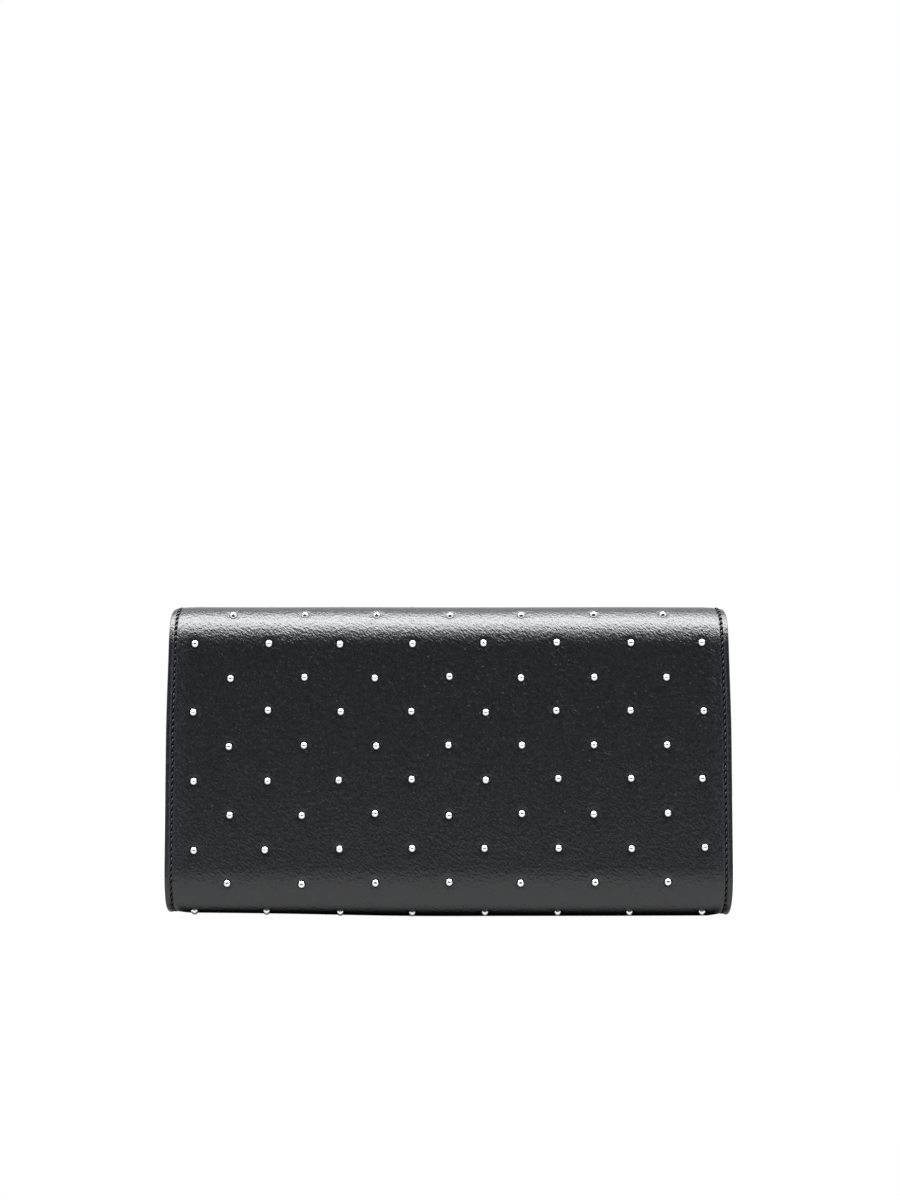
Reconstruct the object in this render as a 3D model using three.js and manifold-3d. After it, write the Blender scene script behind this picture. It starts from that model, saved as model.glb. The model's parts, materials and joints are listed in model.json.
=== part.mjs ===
// Studded chain wallet: a leather wallet with a folding flap, accordion sides and a zipped divider.
//
// Millimetres, +Z up. The wallet stands on its base at Z = 0, its front and flap face -Y and its
// plain back faces +Y. X runs along its width. Every wall is a sandwich of outer leather,
// stiffening board and lining, drawn as bands that follow one side profile in the Y-Z plane.

import * as THREE from "three";
import { mergeVertices } from "three/addons/utils/BufferGeometryUtils.js";
import Module from "manifold-3d";

const wasm = await Module();
wasm.setup();

// ---------------------------------------------------------------- driving dimensions

const WIDTH = 225; // along X, edge to edge of the leather
const HEIGHT = 124; // base to the crest of the top fold
const BASE_FLAT = 14; // width of the strip that the wallet stands on
const BASE_TIGHT_RADIUS = 11; // base corner, next to the flat
const BASE_TIGHT_TURN = 60;
const BASE_WIDE_RADIUS = 26; // base corner, running out into the wall
const BACK_LEAN = 6; // degrees that the back leans inwards
const FRONT_LEAN = 4.5;
const FLAP_LEAN = 3.2; // degrees that the flap's front splays outwards, going down
const FRONT_LENGTH = 83; // straight part of the front wall
const FOLD_REAR_RADIUS = 17; // top fold, from the back to the crest
const FOLD_FRONT_RADIUS = 12; // top fold, from the crest to the front
const FLAP_LENGTH = 78; // straight part of the flap's front
const FLAP_CORNER = 6;

const LEATHER = 1.3;
const BOARD = 0.8;
const LINING = 0.5;
const GAP = 0.25; // between glued layers
const BOARD_INSET = 6; // boards stop inside the stitch line
const BOARD_END = 3; // and short of the folds
const JOINT_GAP = 0.3; // between pieces that move apart

const BOARD_DEPTH = LEATHER + GAP; // outer face of the board, below the wall's outer face
const LINING_DEPTH = BOARD_DEPTH + BOARD + GAP;
const WALL = LINING_DEPTH + LINING;

const DIVIDER_Y = -1; // middle plane of the coin pocket
const DIVIDER_BOTTOM = 7;
const DIVIDER_TOP = 86;
const DIVIDER_HALF_WIDTH = 100.5;
const POCKET_SKIN = 0.8;
const POCKET_GAP = 2; // between the coin pocket's two skins

const ARC_STEP = 6; // degrees of arc for each straight facet
const ROUND = 24; // facets round a full circle

// ---------------------------------------------------------------- materials

const black = (roughness) => new THREE.MeshStandardMaterial({ color: 0x1c1d20, roughness, metalness: 0 });
const leather = black(0.45);
const innerLeather = black(0.6);
const lining = new THREE.MeshStandardMaterial({ color: 0x26262a, roughness: 0.9, metalness: 0 });
const board = new THREE.MeshStandardMaterial({ color: 0x7b6650, roughness: 0.95, metalness: 0 });
const tape = new THREE.MeshStandardMaterial({ color: 0x17171a, roughness: 0.95, metalness: 0 });
const silver = new THREE.MeshStandardMaterial({ color: 0xd8dade, roughness: 0.15, metalness: 1 });

const wallet = new THREE.Group();

function add(name, geometry, material) {
  const mesh = new THREE.Mesh(geometry, material);
  mesh.name = name;
  wallet.add(mesh);
  return mesh;
}

// ---------------------------------------------------------------- side profile

const rad = THREE.MathUtils.degToRad;

// Walks a path in the Y-Z plane and returns its samples {y, z, heading}. The outside of the wallet
// is on the path's right, so a layer lies on its left. A leg is {line} or {radius, turn}, in degrees.
function walk(start, legs) {
  const path = [{ ...start }];
  let { y, z, heading } = start;
  for (const leg of legs) {
    if (leg.line) {
      y += leg.line * Math.cos(rad(heading));
      z += leg.line * Math.sin(rad(heading));
      path.push({ y, z, heading });
      continue;
    }
    const steps = Math.ceil(leg.turn / ARC_STEP);
    const from = { y, z, heading };
    for (let i = 1; i <= steps; i += 1) {
      heading = from.heading + (leg.turn * i) / steps;
      y = from.y + leg.radius * (Math.sin(rad(heading)) - Math.sin(rad(from.heading)));
      z = from.z + leg.radius * (Math.cos(rad(from.heading)) - Math.cos(rad(heading)));
      path.push({ y, z, heading });
    }
  }
  return path;
}

// The point at a depth inside the wall from a sample of the path.
const inside = (p, depth) => [
  p.y - depth * Math.sin(rad(p.heading)),
  p.z + depth * Math.cos(rad(p.heading)),
];

// A closed Y-Z outline between two depths below the path.
const band = (path, outer, inner) => [
  ...path.map((p) => inside(p, outer)),
  ...[...path].reverse().map((p) => inside(p, inner)),
];

// The part of a path that begins and ends this far along it.
function trim(path, fromStart, fromEnd) {
  const shorten = (points, length) => {
    const rest = [...points];
    let left = length;
    while (left > 0) {
      const [a, b] = rest;
      const step = Math.hypot(b.y - a.y, b.z - a.z);
      if (step > left) {
        const t = left / step;
        rest[0] = {
          y: a.y + t * (b.y - a.y),
          z: a.z + t * (b.z - a.z),
          heading: a.heading + t * (b.heading - a.heading),
        };
        return rest;
      }
      left -= step;
      rest.shift();
    }
    return rest;
  };
  return shorten(shorten(path, fromStart).reverse(), fromEnd).reverse();
}

// The base corner from the base's middle up to a wall that leans inwards by so many degrees.
const baseCorner = (lean) => [
  { line: BASE_FLAT / 2 },
  { radius: BASE_TIGHT_RADIUS, turn: BASE_TIGHT_TURN },
  { radius: BASE_WIDE_RADIUS, turn: 90 + lean - BASE_TIGHT_TURN },
];
const mirrored = (path) =>
  [...path].reverse().map((p) => ({ y: -p.y, z: p.z, heading: 360 - p.heading }));

const baseMiddle = { y: 0, z: 0, heading: 0 };
const backCorner = walk(baseMiddle, baseCorner(BACK_LEAN));
const backFoot = backCorner.at(-1);
const foldRise = FOLD_REAR_RADIUS * (1 - Math.sin(rad(BACK_LEAN)));
const backWall = walk(backFoot, [{ line: (HEIGHT - foldRise - backFoot.z) / Math.cos(rad(BACK_LEAN)) }]);

const frontCorner = walk(baseMiddle, baseCorner(FRONT_LEAN));
const frontWall = mirrored(walk(frontCorner.at(-1), [{ line: FRONT_LENGTH }]));

// The top fold bends at a crease in the middle of each of its two arcs.
const rearArc = 90 - BACK_LEAN;
const frontArc = 90 - FLAP_LEAN;
const rearFold = walk(backWall.at(-1), [{ radius: FOLD_REAR_RADIUS, turn: rearArc / 2 }]);
const topPath = walk(rearFold.at(-1), [
  { radius: FOLD_REAR_RADIUS, turn: rearArc / 2 },
  { radius: FOLD_FRONT_RADIUS, turn: frontArc / 2 },
]);
const frontFold = walk(topPath.at(-1), [{ radius: FOLD_FRONT_RADIUS, turn: frontArc / 2 }]);
const flapWall = walk(frontFold.at(-1), [{ line: FLAP_LENGTH }]);

// The case runs from the front wall's foot, round the base and up the back to the rear crease.
const casePath = [
  ...mirrored(frontCorner).slice(0, -1),
  ...backCorner.slice(0, -1),
  ...backWall.slice(0, -1),
  ...rearFold,
];
const flapPath = [...frontFold.slice(0, -1), ...flapWall];
const flapHem = flapPath.at(-1);

// Y of a straight wall's face at height z and a depth inside the wall.
function wallY(path, z, depth) {
  const [ay, az] = inside(path[0], depth);
  const [by, bz] = inside(path.at(-1), depth);
  return ay + ((z - az) / (bz - az)) * (by - ay);
}
const backY = (z, depth) => wallY(backWall, z, depth);

// ---------------------------------------------------------------- geometry helpers

// Extrudes a Y-Z outline along X.
function slab(outline, width, middle = 0) {
  const shape = new THREE.Shape(outline.map(([y, z]) => new THREE.Vector2(y, z)));
  const geometry = new THREE.ExtrudeGeometry(shape, { depth: width, bevelEnabled: false });
  const turned = new THREE.Matrix4().set(0, 0, 1, middle - width / 2, 1, 0, 0, 0, 0, 1, 0, 0, 0, 0, 0, 1);
  return geometry.applyMatrix4(turned);
}

// An X-Z outline extruded along Y, from one Y to another.
function plate(shape, fromY, toY) {
  const geometry = new THREE.ExtrudeGeometry(shape, {
    depth: toY - fromY,
    bevelEnabled: false,
    curveSegments: ROUND / 4,
  });
  return geometry.rotateX(Math.PI / 2).translate(0, toY, 0);
}

function box(x, y, z) {
  const geometry = new THREE.BoxGeometry(x[1] - x[0], y[1] - y[0], z[1] - z[0]);
  return geometry.translate((x[0] + x[1]) / 2, (y[0] + y[1]) / 2, (z[0] + z[1]) / 2);
}

// A turned piece: its profile is [radius, height] pairs, from its lowest point up, and it rises along -Y.
function turned(profile) {
  const points = profile.map(([r, h]) => new THREE.Vector2(r, h));
  return new THREE.LatheGeometry(points, ROUND).rotateX(Math.PI);
}

// Skins a row of sections with equal numbers of [x, y, z] points. An open row gets a cap on both ends,
// seen flat along Z, and a closed one joins its last section to its first.
function skinned(sections, closed) {
  const n = sections[0].length;
  const index = [];
  const spans = closed ? sections.length : sections.length - 1;
  for (let span = 0; span < spans; span += 1) {
    const here = span * n;
    const next = ((span + 1) % sections.length) * n;
    for (let i = 0; i < n; i += 1) {
      const j = (i + 1) % n;
      index.push(here + i, here + j, next + j, here + i, next + j, next + i);
    }
  }
  if (!closed) {
    const capOf = (section) =>
      THREE.ShapeUtils.triangulateShape(section.map(([x, y]) => new THREE.Vector2(x, y)), []);
    const last = (sections.length - 1) * n;
    capOf(sections[0]).forEach(([a, b, c]) => index.push(a, c, b));
    capOf(sections.at(-1)).forEach(([a, b, c]) => index.push(last + a, last + b, last + c));
  }
  const geometry = new THREE.BufferGeometry();
  geometry.setAttribute("position", new THREE.Float32BufferAttribute(sections.flat(2), 3));
  geometry.setIndex(index);
  geometry.computeVertexNormals();
  return geometry;
}

function solid(geometry) {
  const bare = new THREE.BufferGeometry().setAttribute("position", geometry.getAttribute("position").clone());
  const source = mergeVertices(geometry.index ? bare.setIndex(geometry.index.clone()) : bare, 1e-4);
  const { array } = source.getAttribute("position");
  return new wasm.Manifold(
    new wasm.Mesh({ numProp: 3, vertProperties: array, triVerts: new Uint32Array(source.index.array) }),
  );
}

function toGeometry(manifold) {
  const { vertProperties, triVerts } = manifold.getMesh();
  const geometry = new THREE.BufferGeometry()
    .setAttribute("position", new THREE.BufferAttribute(vertProperties, 3))
    .setIndex(new THREE.BufferAttribute(triVerts, 1));
  geometry.computeVertexNormals();
  return geometry;
}

const cut = (piece, ...tools) =>
  toGeometry(tools.reduce((left, tool) => left.subtract(solid(tool)), solid(piece)));
const join = (piece, ...others) =>
  toGeometry(others.reduce((whole, other) => whole.add(solid(other)), solid(piece)));
const overlapOf = (piece, other) => toGeometry(solid(piece).intersect(solid(other)));

function roundedRectangle(halfWidth, bottom, top, radius) {
  const shape = new THREE.Shape();
  shape.moveTo(-halfWidth, top);
  shape.lineTo(-halfWidth, bottom + radius);
  shape.absarc(-halfWidth + radius, bottom + radius, radius, Math.PI, 1.5 * Math.PI, false);
  shape.absarc(halfWidth - radius, bottom + radius, radius, 1.5 * Math.PI, 2 * Math.PI, false);
  shape.lineTo(halfWidth, top);
  return shape;
}

// ---------------------------------------------------------------- magnetic snap

const SNAP_RADIUS = 7;
const SNAP_HEIGHT = 52; // above the base
const SNAP_HOLE = SNAP_RADIUS + 0.4; // radius of the hole cut for it
const SNAP_LIP = 0.15; // how far the socket stands proud of the leather
const NUB_RADIUS = 2.4;
const NUB_LENGTH = 1.4;
const SOCKET_BORE = 3.8;
const SOCKET_BORE_DEPTH = 1.5;
const SOCKET_DEPTH = 1.9;
const SNAP_FLANGE = 0.5;
const SNAP_PLATE = 0.5;

// Stands a turned piece on a wall at the snap's height, at a depth inside that wall.
function onWall(geometry, path, depth, lean) {
  return geometry.rotateX(-rad(lean)).translate(0, wallY(path, SNAP_HEIGHT, depth), SNAP_HEIGHT);
}

function snapHole(path, lean, from, to) {
  const profile = [[0, -to], [SNAP_HOLE, -to], [SNAP_HOLE, -from], [0, -from]];
  return onWall(turned(profile), path, 0, lean);
}

function magneticSnap() {
  const socket = [
    [0, -SOCKET_DEPTH],
    [SNAP_RADIUS, -SOCKET_DEPTH],
    [SNAP_RADIUS, -0.3],
    [SNAP_RADIUS - 0.6, SNAP_LIP],
    [SOCKET_BORE + 0.5, SNAP_LIP],
    [SOCKET_BORE, -0.3],
    [SOCKET_BORE, -SOCKET_BORE_DEPTH],
    [0, -SOCKET_BORE_DEPTH],
  ];
  add("snap_socket", onWall(turned(socket), frontWall, 0, FRONT_LEAN), silver);
  const stud = [
    [0, -SNAP_FLANGE - NUB_LENGTH],
    [NUB_RADIUS - 0.8, -SNAP_FLANGE - NUB_LENGTH],
    [NUB_RADIUS, -SNAP_FLANGE - 0.8],
    [NUB_RADIUS, -SNAP_FLANGE],
    [SNAP_RADIUS - 0.5, -SNAP_FLANGE],
    [SNAP_RADIUS, 0],
    [0, 0],
  ];
  add("snap_stud", onWall(turned(stud), flapWall, WALL + GAP / 2, FLAP_LEAN), silver);
  const clinch = [[0, -SNAP_PLATE], [SNAP_RADIUS, -SNAP_PLATE], [SNAP_RADIUS, 0], [0, 0]];
  add("snap_stud_plate", onWall(turned(clinch), flapWall, BOARD_DEPTH + SNAP_LIP, FLAP_LEAN), silver);
}

// ---------------------------------------------------------------- case: back, base and lining

const CORE_WIDTH = WIDTH - 2 * BOARD_INSET;
const LINING_WIDTH = WIDTH - 1;
const HALF_JOINT = JOINT_GAP / 2;

const leatherBand = (path) => band(path, 0, LEATHER);
const boardBand = (path) => band(path, BOARD_DEPTH, BOARD_DEPTH + BOARD);
const liningBand = (path) => band(path, LINING_DEPTH, WALL);

function caseWalls() {
  const skin = trim(casePath, HALF_JOINT, HALF_JOINT);
  add("back_panel", slab(leatherBand(skin), WIDTH), leather);
  add("case_lining", slab(liningBand(skin), LINING_WIDTH), lining);
  add("back_board", slab(boardBand(trim(backWall, BOARD_END, BOARD_END)), CORE_WIDTH), board);
  const flat = [mirrored(backCorner.slice(0, 2))[0], backCorner[1]];
  add("base_board", slab(boardBand(flat), CORE_WIDTH), board);
}

// ---------------------------------------------------------------- front wall

const SLIP_POCKET_TOP = 72;
const SLIP_POCKET_SKIN = 0.7;
const SLIP_POCKET_WIDTH = 184;
const SLIP_POCKET_FOOT = 4; // above the front wall's foot

function frontWalls() {
  const skin = trim(frontWall, 0, HALF_JOINT);
  const hole = snapHole(frontWall, FRONT_LEAN, -1, LINING_DEPTH - GAP / 2);
  add("front_panel", cut(slab(leatherBand(skin), WIDTH), hole), leather);
  add("front_board", cut(slab(boardBand(trim(frontWall, BOARD_END, BOARD_END)), CORE_WIDTH), hole), board);
  add("front_lining", slab(liningBand(skin), LINING_WIDTH), lining);

  const pocket = trim(frontWall, frontWall[0].z - SLIP_POCKET_TOP, SLIP_POCKET_FOOT);
  const pocketBand = band(pocket, WALL + GAP, WALL + GAP + SLIP_POCKET_SKIN);
  add("slip_pocket", slab(pocketBand, SLIP_POCKET_WIDTH), innerLeather);
}

// ---------------------------------------------------------------- top fold and flap

function topFold() {
  const skin = trim(topPath, HALF_JOINT, HALF_JOINT);
  add("fold_panel", slab(leatherBand(skin), WIDTH), leather);
  add("fold_lining", slab(liningBand(skin), LINING_WIDTH), lining);
}

function flapWalls() {
  const outline = (inset) => {
    const shape = roundedRectangle(WIDTH / 2 - inset, flapHem.z + inset, HEIGHT + 10, FLAP_CORNER);
    return plate(shape, -2 * HEIGHT, 2 * HEIGHT);
  };
  const skin = trim(flapPath, HALF_JOINT, 0);
  const spare = WIDTH + 10;
  add("flap_panel", overlapOf(slab(leatherBand(skin), spare), outline(0)), leather);
  add("flap_lining", overlapOf(slab(liningBand(skin), spare), outline(0.5)), lining);
  const core = overlapOf(slab(boardBand(trim(flapWall, BOARD_END, 0)), spare), outline(BOARD_INSET));
  const hole = snapHole(flapWall, FLAP_LEAN, BOARD_DEPTH - 0.1, BOARD_DEPTH + BOARD + 0.1);
  add("flap_board", cut(core, hole), board);
}

// ---------------------------------------------------------------- accordion gussets

const GUSSET_SKIN = 0.8;
const GUSSET_TOP = 88;
const GUSSET_BOTTOM = 5;
const GUSSET_LEVELS = 14;
const GUSSET_EDGE = WIDTH / 2 - 0.5; // outer end of the flanges
const GUSSET_FLANGE = 105.5; // where a flange leaves the wall
const GUSSET_FOLD_IN = 96;
const GUSSET_FOLD_OUT = 105.5; // the middle fold, which takes the divider's edge

// Y of the lining's inner face at height z, on the back (side +1) or the front (side -1).
function innerFace(z, side) {
  const path = side > 0 ? [...backCorner, ...backWall] : [...frontWall, ...mirrored(frontCorner)];
  const points = path.map((p) => inside(p, WALL));
  const next = points.findIndex(([, bz], i) => i > 0 && (points[i - 1][1] - z) * (bz - z) <= 0);
  const [ay, az] = points[next - 1];
  const [by, bz] = points[next];
  return ay + ((z - az) / (bz - az)) * (by - ay);
}

// The accordion's middle line at height z, from the back flange to the front flange, as [x, y].
function gussetLine(z) {
  const back = innerFace(z, 1) - GAP - GUSSET_SKIN / 2;
  const front = innerFace(z, -1) + GAP + GUSSET_SKIN / 2;
  return [
    [GUSSET_EDGE, back],
    [GUSSET_FLANGE, back],
    [GUSSET_FOLD_IN, (back + DIVIDER_Y) / 2],
    [GUSSET_FOLD_OUT, DIVIDER_Y],
    [GUSSET_FOLD_IN, (front + DIVIDER_Y) / 2],
    [GUSSET_FLANGE, front],
    [GUSSET_EDGE, front],
  ];
}

// A closed ring round an open line, half a thickness away on each side.
function thicken(line, thickness) {
  const offset = (sign) =>
    line.map(([x, y], i) => {
      const [px, py] = line[Math.max(i - 1, 0)];
      const [nx, ny] = line[Math.min(i + 1, line.length - 1)];
      const before = new THREE.Vector2(x - px, y - py).normalize();
      const after = new THREE.Vector2(nx - x, ny - y).normalize();
      const along = before.clone().add(after).normalize();
      const reach = Math.max(along.dot(before.lengthSq() ? before : after), 0.4);
      const size = (sign * thickness) / 2 / reach;
      return [x - along.y * size, y + along.x * size];
    });
  return [...offset(1), ...offset(-1).reverse()];
}

function gusset(name, side) {
  const sections = [];
  for (let i = 0; i <= GUSSET_LEVELS; i += 1) {
    const t = (i / GUSSET_LEVELS) ** 1.5; // closer levels near the base, where the wall curves
    const z = GUSSET_BOTTOM + (GUSSET_TOP - GUSSET_BOTTOM) * t;
    const outline = thicken(gussetLine(z), GUSSET_SKIN).map(([x, y]) => [side * x, y, z]);
    sections.push(side < 0 ? outline : outline.reverse());
  }
  add(name, skinned(sections, false), innerLeather);
}

// ---------------------------------------------------------------- card slots

const CARD_BACKING_TOP = 87;
const CARD_BOTTOM = 25;
const CARD_FIRST_TOP = 83;
const CARD_STAGGER = 9;
const CARD_SKIN = 0.7;
const CARD_COLUMN = 95;
const CARD_COLUMN_GAP = 3;
const CARD_ROWS = 3;

// A sheet that lies on the back wall between two heights, at a depth inside the wall.
function onBack(bottom, top, depth, thickness, width, middle) {
  const outline = [
    [backY(bottom, depth), bottom],
    [backY(top, depth), top],
    [backY(top, depth + thickness), top],
    [backY(bottom, depth + thickness), bottom],
  ];
  return slab(outline, width, middle);
}

function cardSlots() {
  const backingDepth = WALL + GAP;
  const backingWidth = 2 * CARD_COLUMN + CARD_COLUMN_GAP;
  const backing = onBack(CARD_BOTTOM, CARD_BACKING_TOP, backingDepth, CARD_SKIN, backingWidth, 0);
  add("card_backing", backing, innerLeather);
  for (const [label, side] of [["left", -1], ["right", 1]]) {
    const middle = (side * (CARD_COLUMN + CARD_COLUMN_GAP)) / 2;
    for (let row = 1; row <= CARD_ROWS; row += 1) {
      const top = CARD_FIRST_TOP - (row - 1) * CARD_STAGGER;
      const depth = backingDepth + row * (CARD_SKIN + GAP);
      const slot = onBack(CARD_BOTTOM, top, depth, CARD_SKIN, CARD_COLUMN, middle);
      add(`card_slot_${label}_${row}`, slot, innerLeather);
    }
  }
}

// ---------------------------------------------------------------- coin pocket and its zip

const RIM = 3; // sewn edge of the coin pocket
const RIM_GAP = 0.2; // between the two skins' rims
const POCKET_INNER = POCKET_GAP / 2;
const POCKET_OUTER = POCKET_INNER + POCKET_SKIN;
const TAPE_SKIN = 0.4;
const TAPE_DROP = 8;
const TAPE_GAP = 0.15; // between the tape and what it is sewn to
const TEETH_HALF_LENGTH = 80;
const TEETH_INNER = 0.5; // half the gap between the two rows
const TEETH_OUTER = 2.1;
const TEETH_BOTTOM = DIVIDER_TOP + 0.6;
const TEETH_HEIGHT = 1.5;
const TOOTH_PITCH = 3.0;
const TOOTH_GROOVE = 0.9;
const TOOTH_GROOVE_DEPTH = 0.5;

// A sheet of the coin pocket on one side of the divider's plane (side +1 is the rear).
function onDivider(near, far, x, z, side) {
  const y = [DIVIDER_Y + side * near, DIVIDER_Y + side * far].sort((a, b) => a - b);
  return box(x, y, z);
}

function coinPocket() {
  const x = [-DIVIDER_HALF_WIDTH, DIVIDER_HALF_WIDTH];
  const z = [DIVIDER_BOTTOM, DIVIDER_TOP];
  const edge = [RIM_GAP / 2, POCKET_INNER + 0.1]; // reaches into the skin, so that the two join
  for (const [name, side] of [["coin_pocket_rear", 1], ["coin_pocket_front", -1]]) {
    const wall = onDivider(POCKET_INNER, POCKET_OUTER, x, z, side);
    const rims = [
      onDivider(...edge, [x[0], x[0] + RIM], z, side),
      onDivider(...edge, [x[1] - RIM, x[1]], z, side),
      onDivider(...edge, x, [z[0], z[0] + RIM], side),
    ];
    add(name, join(wall, ...rims), innerLeather);
  }
}

// A tape hangs inside the pocket's skin and carries its row of teeth on its top edge.
function zipTape(name, side) {
  const far = POCKET_INNER - TAPE_GAP;
  const halfLength = DIVIDER_HALF_WIDTH - RIM - 1;
  const z = [DIVIDER_TOP - TAPE_DROP, TEETH_BOTTOM - TAPE_GAP];
  add(name, onDivider(far - TAPE_SKIN, far, [-halfLength, halfLength], z, side), tape);
}

// One row of teeth as a bar with a groove between each tooth and the next.
function zipTeeth(name, side) {
  const z = [TEETH_BOTTOM, TEETH_BOTTOM + TEETH_HEIGHT];
  const bar = onDivider(TEETH_INNER, TEETH_OUTER, [-TEETH_HALF_LENGTH, TEETH_HALF_LENGTH], z, side);
  const grooves = [];
  const grooveZ = [z[1] - TOOTH_GROOVE_DEPTH, z[1] + 1];
  for (let x = -TEETH_HALF_LENGTH + TOOTH_PITCH; x < TEETH_HALF_LENGTH - 1; x += TOOTH_PITCH) {
    grooves.push(onDivider(TEETH_INNER - 1, TEETH_OUTER + 1, [x, x + TOOTH_GROOVE], grooveZ, side));
  }
  add(name, cut(bar, ...grooves), silver);
}

function zipStop(name, side) {
  const x = [side * (TEETH_HALF_LENGTH + 0.5), side * (TEETH_HALF_LENGTH + 3)].sort((a, b) => a - b);
  const z = [TEETH_BOTTOM, TEETH_BOTTOM + TEETH_HEIGHT + 0.6];
  add(name, box(x, [DIVIDER_Y - TEETH_OUTER, DIVIDER_Y + TEETH_OUTER], z), silver);
}

const SLIDER_LENGTH = 9;
const SLIDER_START = -TEETH_HALF_LENGTH + SLIDER_LENGTH / 2; // middle of the slider, zip closed
const SLIDER_HALF_WIDTH = 3.6;
const SLIDER_PLATE = 0.9;
const SLIDER_PLAY = 0.3;
const BRIDGE_HALF = TEETH_INNER - SLIDER_PLAY; // runs between the two rows
const SLIDER_TOP_Z = TEETH_BOTTOM + TEETH_HEIGHT + SLIDER_PLAY; // underside of its top plate
const LUG_HEIGHT = 2.6;
const LUG_HALF_LENGTH = 2.4;
const LUG_HALF_WIDTH = 0.7;
const EYE_RADIUS = 0.9;
const PULL_AXIS_Z = SLIDER_TOP_Z + SLIDER_PLATE + 1.3;

function zipSlider() {
  const x = [SLIDER_START - SLIDER_LENGTH / 2, SLIDER_START + SLIDER_LENGTH / 2];
  const joined = SLIDER_TOP_Z + 0.2; // the pieces below reach this far into the top plate
  const onBoth = (half) => [DIVIDER_Y - half, DIVIDER_Y + half];
  const top = box(x, onBoth(SLIDER_HALF_WIDTH), [SLIDER_TOP_Z, SLIDER_TOP_Z + SLIDER_PLATE]);
  const sides = [-1, 1].map((side) =>
    onDivider(TEETH_OUTER + SLIDER_PLAY, SLIDER_HALF_WIDTH, x, [TEETH_BOTTOM + 0.1, joined], side),
  );
  const bridge = box([x[0] + 0.5, x[0] + 3], onBoth(BRIDGE_HALF), [TEETH_BOTTOM - 0.1, joined]);
  const lug = box(
    [SLIDER_START - LUG_HALF_LENGTH, SLIDER_START + LUG_HALF_LENGTH],
    onBoth(LUG_HALF_WIDTH),
    [SLIDER_TOP_Z + 0.5, SLIDER_TOP_Z + SLIDER_PLATE + LUG_HEIGHT],
  );
  const eye = new THREE.CylinderGeometry(EYE_RADIUS, EYE_RADIUS, 4, 16);
  eye.translate(SLIDER_START, DIVIDER_Y, PULL_AXIS_Z);
  add("zip_slider", cut(join(top, ...sides, bridge, lug), eye), silver);
}

const PULL_LENGTH = 15;
const PULL_HALF_WIDTH = 2.5;
const PULL_THICKNESS = 1;
const PULL_PIN = 0.6;
const PULL_FORK = 4; // from the pin to where the blade begins

// The pull lies along the zip, hooked by a cross pin through the slider's eye.
function zipPull() {
  const z = [PULL_AXIS_Z - PULL_THICKNESS / 2, PULL_AXIS_Z + PULL_THICKNESS / 2];
  const near = LUG_HALF_WIDTH + SLIDER_PLAY;
  const cheeks = [-1, 1].map((side) =>
    onDivider(near, PULL_HALF_WIDTH, [SLIDER_START - 0.8, SLIDER_START + PULL_FORK], z, side),
  );
  const blade = box(
    [SLIDER_START + PULL_FORK - 0.5, SLIDER_START + PULL_LENGTH],
    [DIVIDER_Y - PULL_HALF_WIDTH, DIVIDER_Y + PULL_HALF_WIDTH],
    z,
  );
  const pin = new THREE.CylinderGeometry(PULL_PIN, PULL_PIN, 2 * near + 1, 12);
  pin.translate(SLIDER_START, DIVIDER_Y, PULL_AXIS_Z);
  add("zip_pull", join(blade, ...cheeks, pin), silver);
}

// ---------------------------------------------------------------- chain rings and their tabs

const RING_X = 101.5;
const RING_Z = 102; // axis of the ring's straight bar
const RING_WIRE = 1; // radius of the wire
const RING_HALF_WIDTH = 7; // to the wire's middle
const RING_DROP = 12;
const RING_STEPS = 40;
const WIRE_SIDES = 8;
const TAB_SKIN = 1;
const TAB_WIDTH = 10;
const TAB_FOOT = 6.5; // length of the tab below the ring's bar
const TAB_NECK = 3.2; // where its two ends meet

const TAB_STANDOFF = 0.4; // between the tab and the lining
const RING_BORE = RING_WIRE + 0.25; // radius of the tab's loop
const RING_CORNER = 1.6;
const ringAxisY = backY(RING_Z, WALL) - TAB_STANDOFF - TAB_SKIN - RING_BORE;

// A D-ring hanging from its straight bar: a round wire bent round a closed path.
function ring(name, side) {
  const half = RING_HALF_WIDTH;
  const at = (x, z) => new THREE.Vector3(side * RING_X + x, ringAxisY, RING_Z + z);
  const bow = [];
  for (let i = 1; i < 10; i += 1) {
    const angle = (Math.PI * i) / 10;
    bow.push(at(half * Math.cos(angle), -RING_CORNER - (RING_DROP - RING_CORNER) * Math.sin(angle)));
  }
  const bar = [at(-half + RING_CORNER, 0), at(0, 0), at(half - RING_CORNER, 0)];
  const turns = [at(half, -RING_CORNER), ...bow, at(-half, -RING_CORNER)];
  const path = new THREE.CatmullRomCurve3([...bar, ...turns], true);
  const sections = [];
  for (let step = 0; step < RING_STEPS; step += 1) {
    const middle = path.getPointAt(step / RING_STEPS);
    const along = path.getTangentAt(step / RING_STEPS);
    const section = [];
    for (let i = 0; i < WIRE_SIDES; i += 1) {
      const angle = (2 * Math.PI * i) / WIRE_SIDES;
      const out = RING_WIRE * Math.cos(angle);
      const y = middle.y + RING_WIRE * Math.sin(angle);
      section.push([middle.x + along.z * out, y, middle.z - along.x * out]);
    }
    sections.push(section);
  }
  add(name, skinned(sections, true), silver);
}

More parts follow.
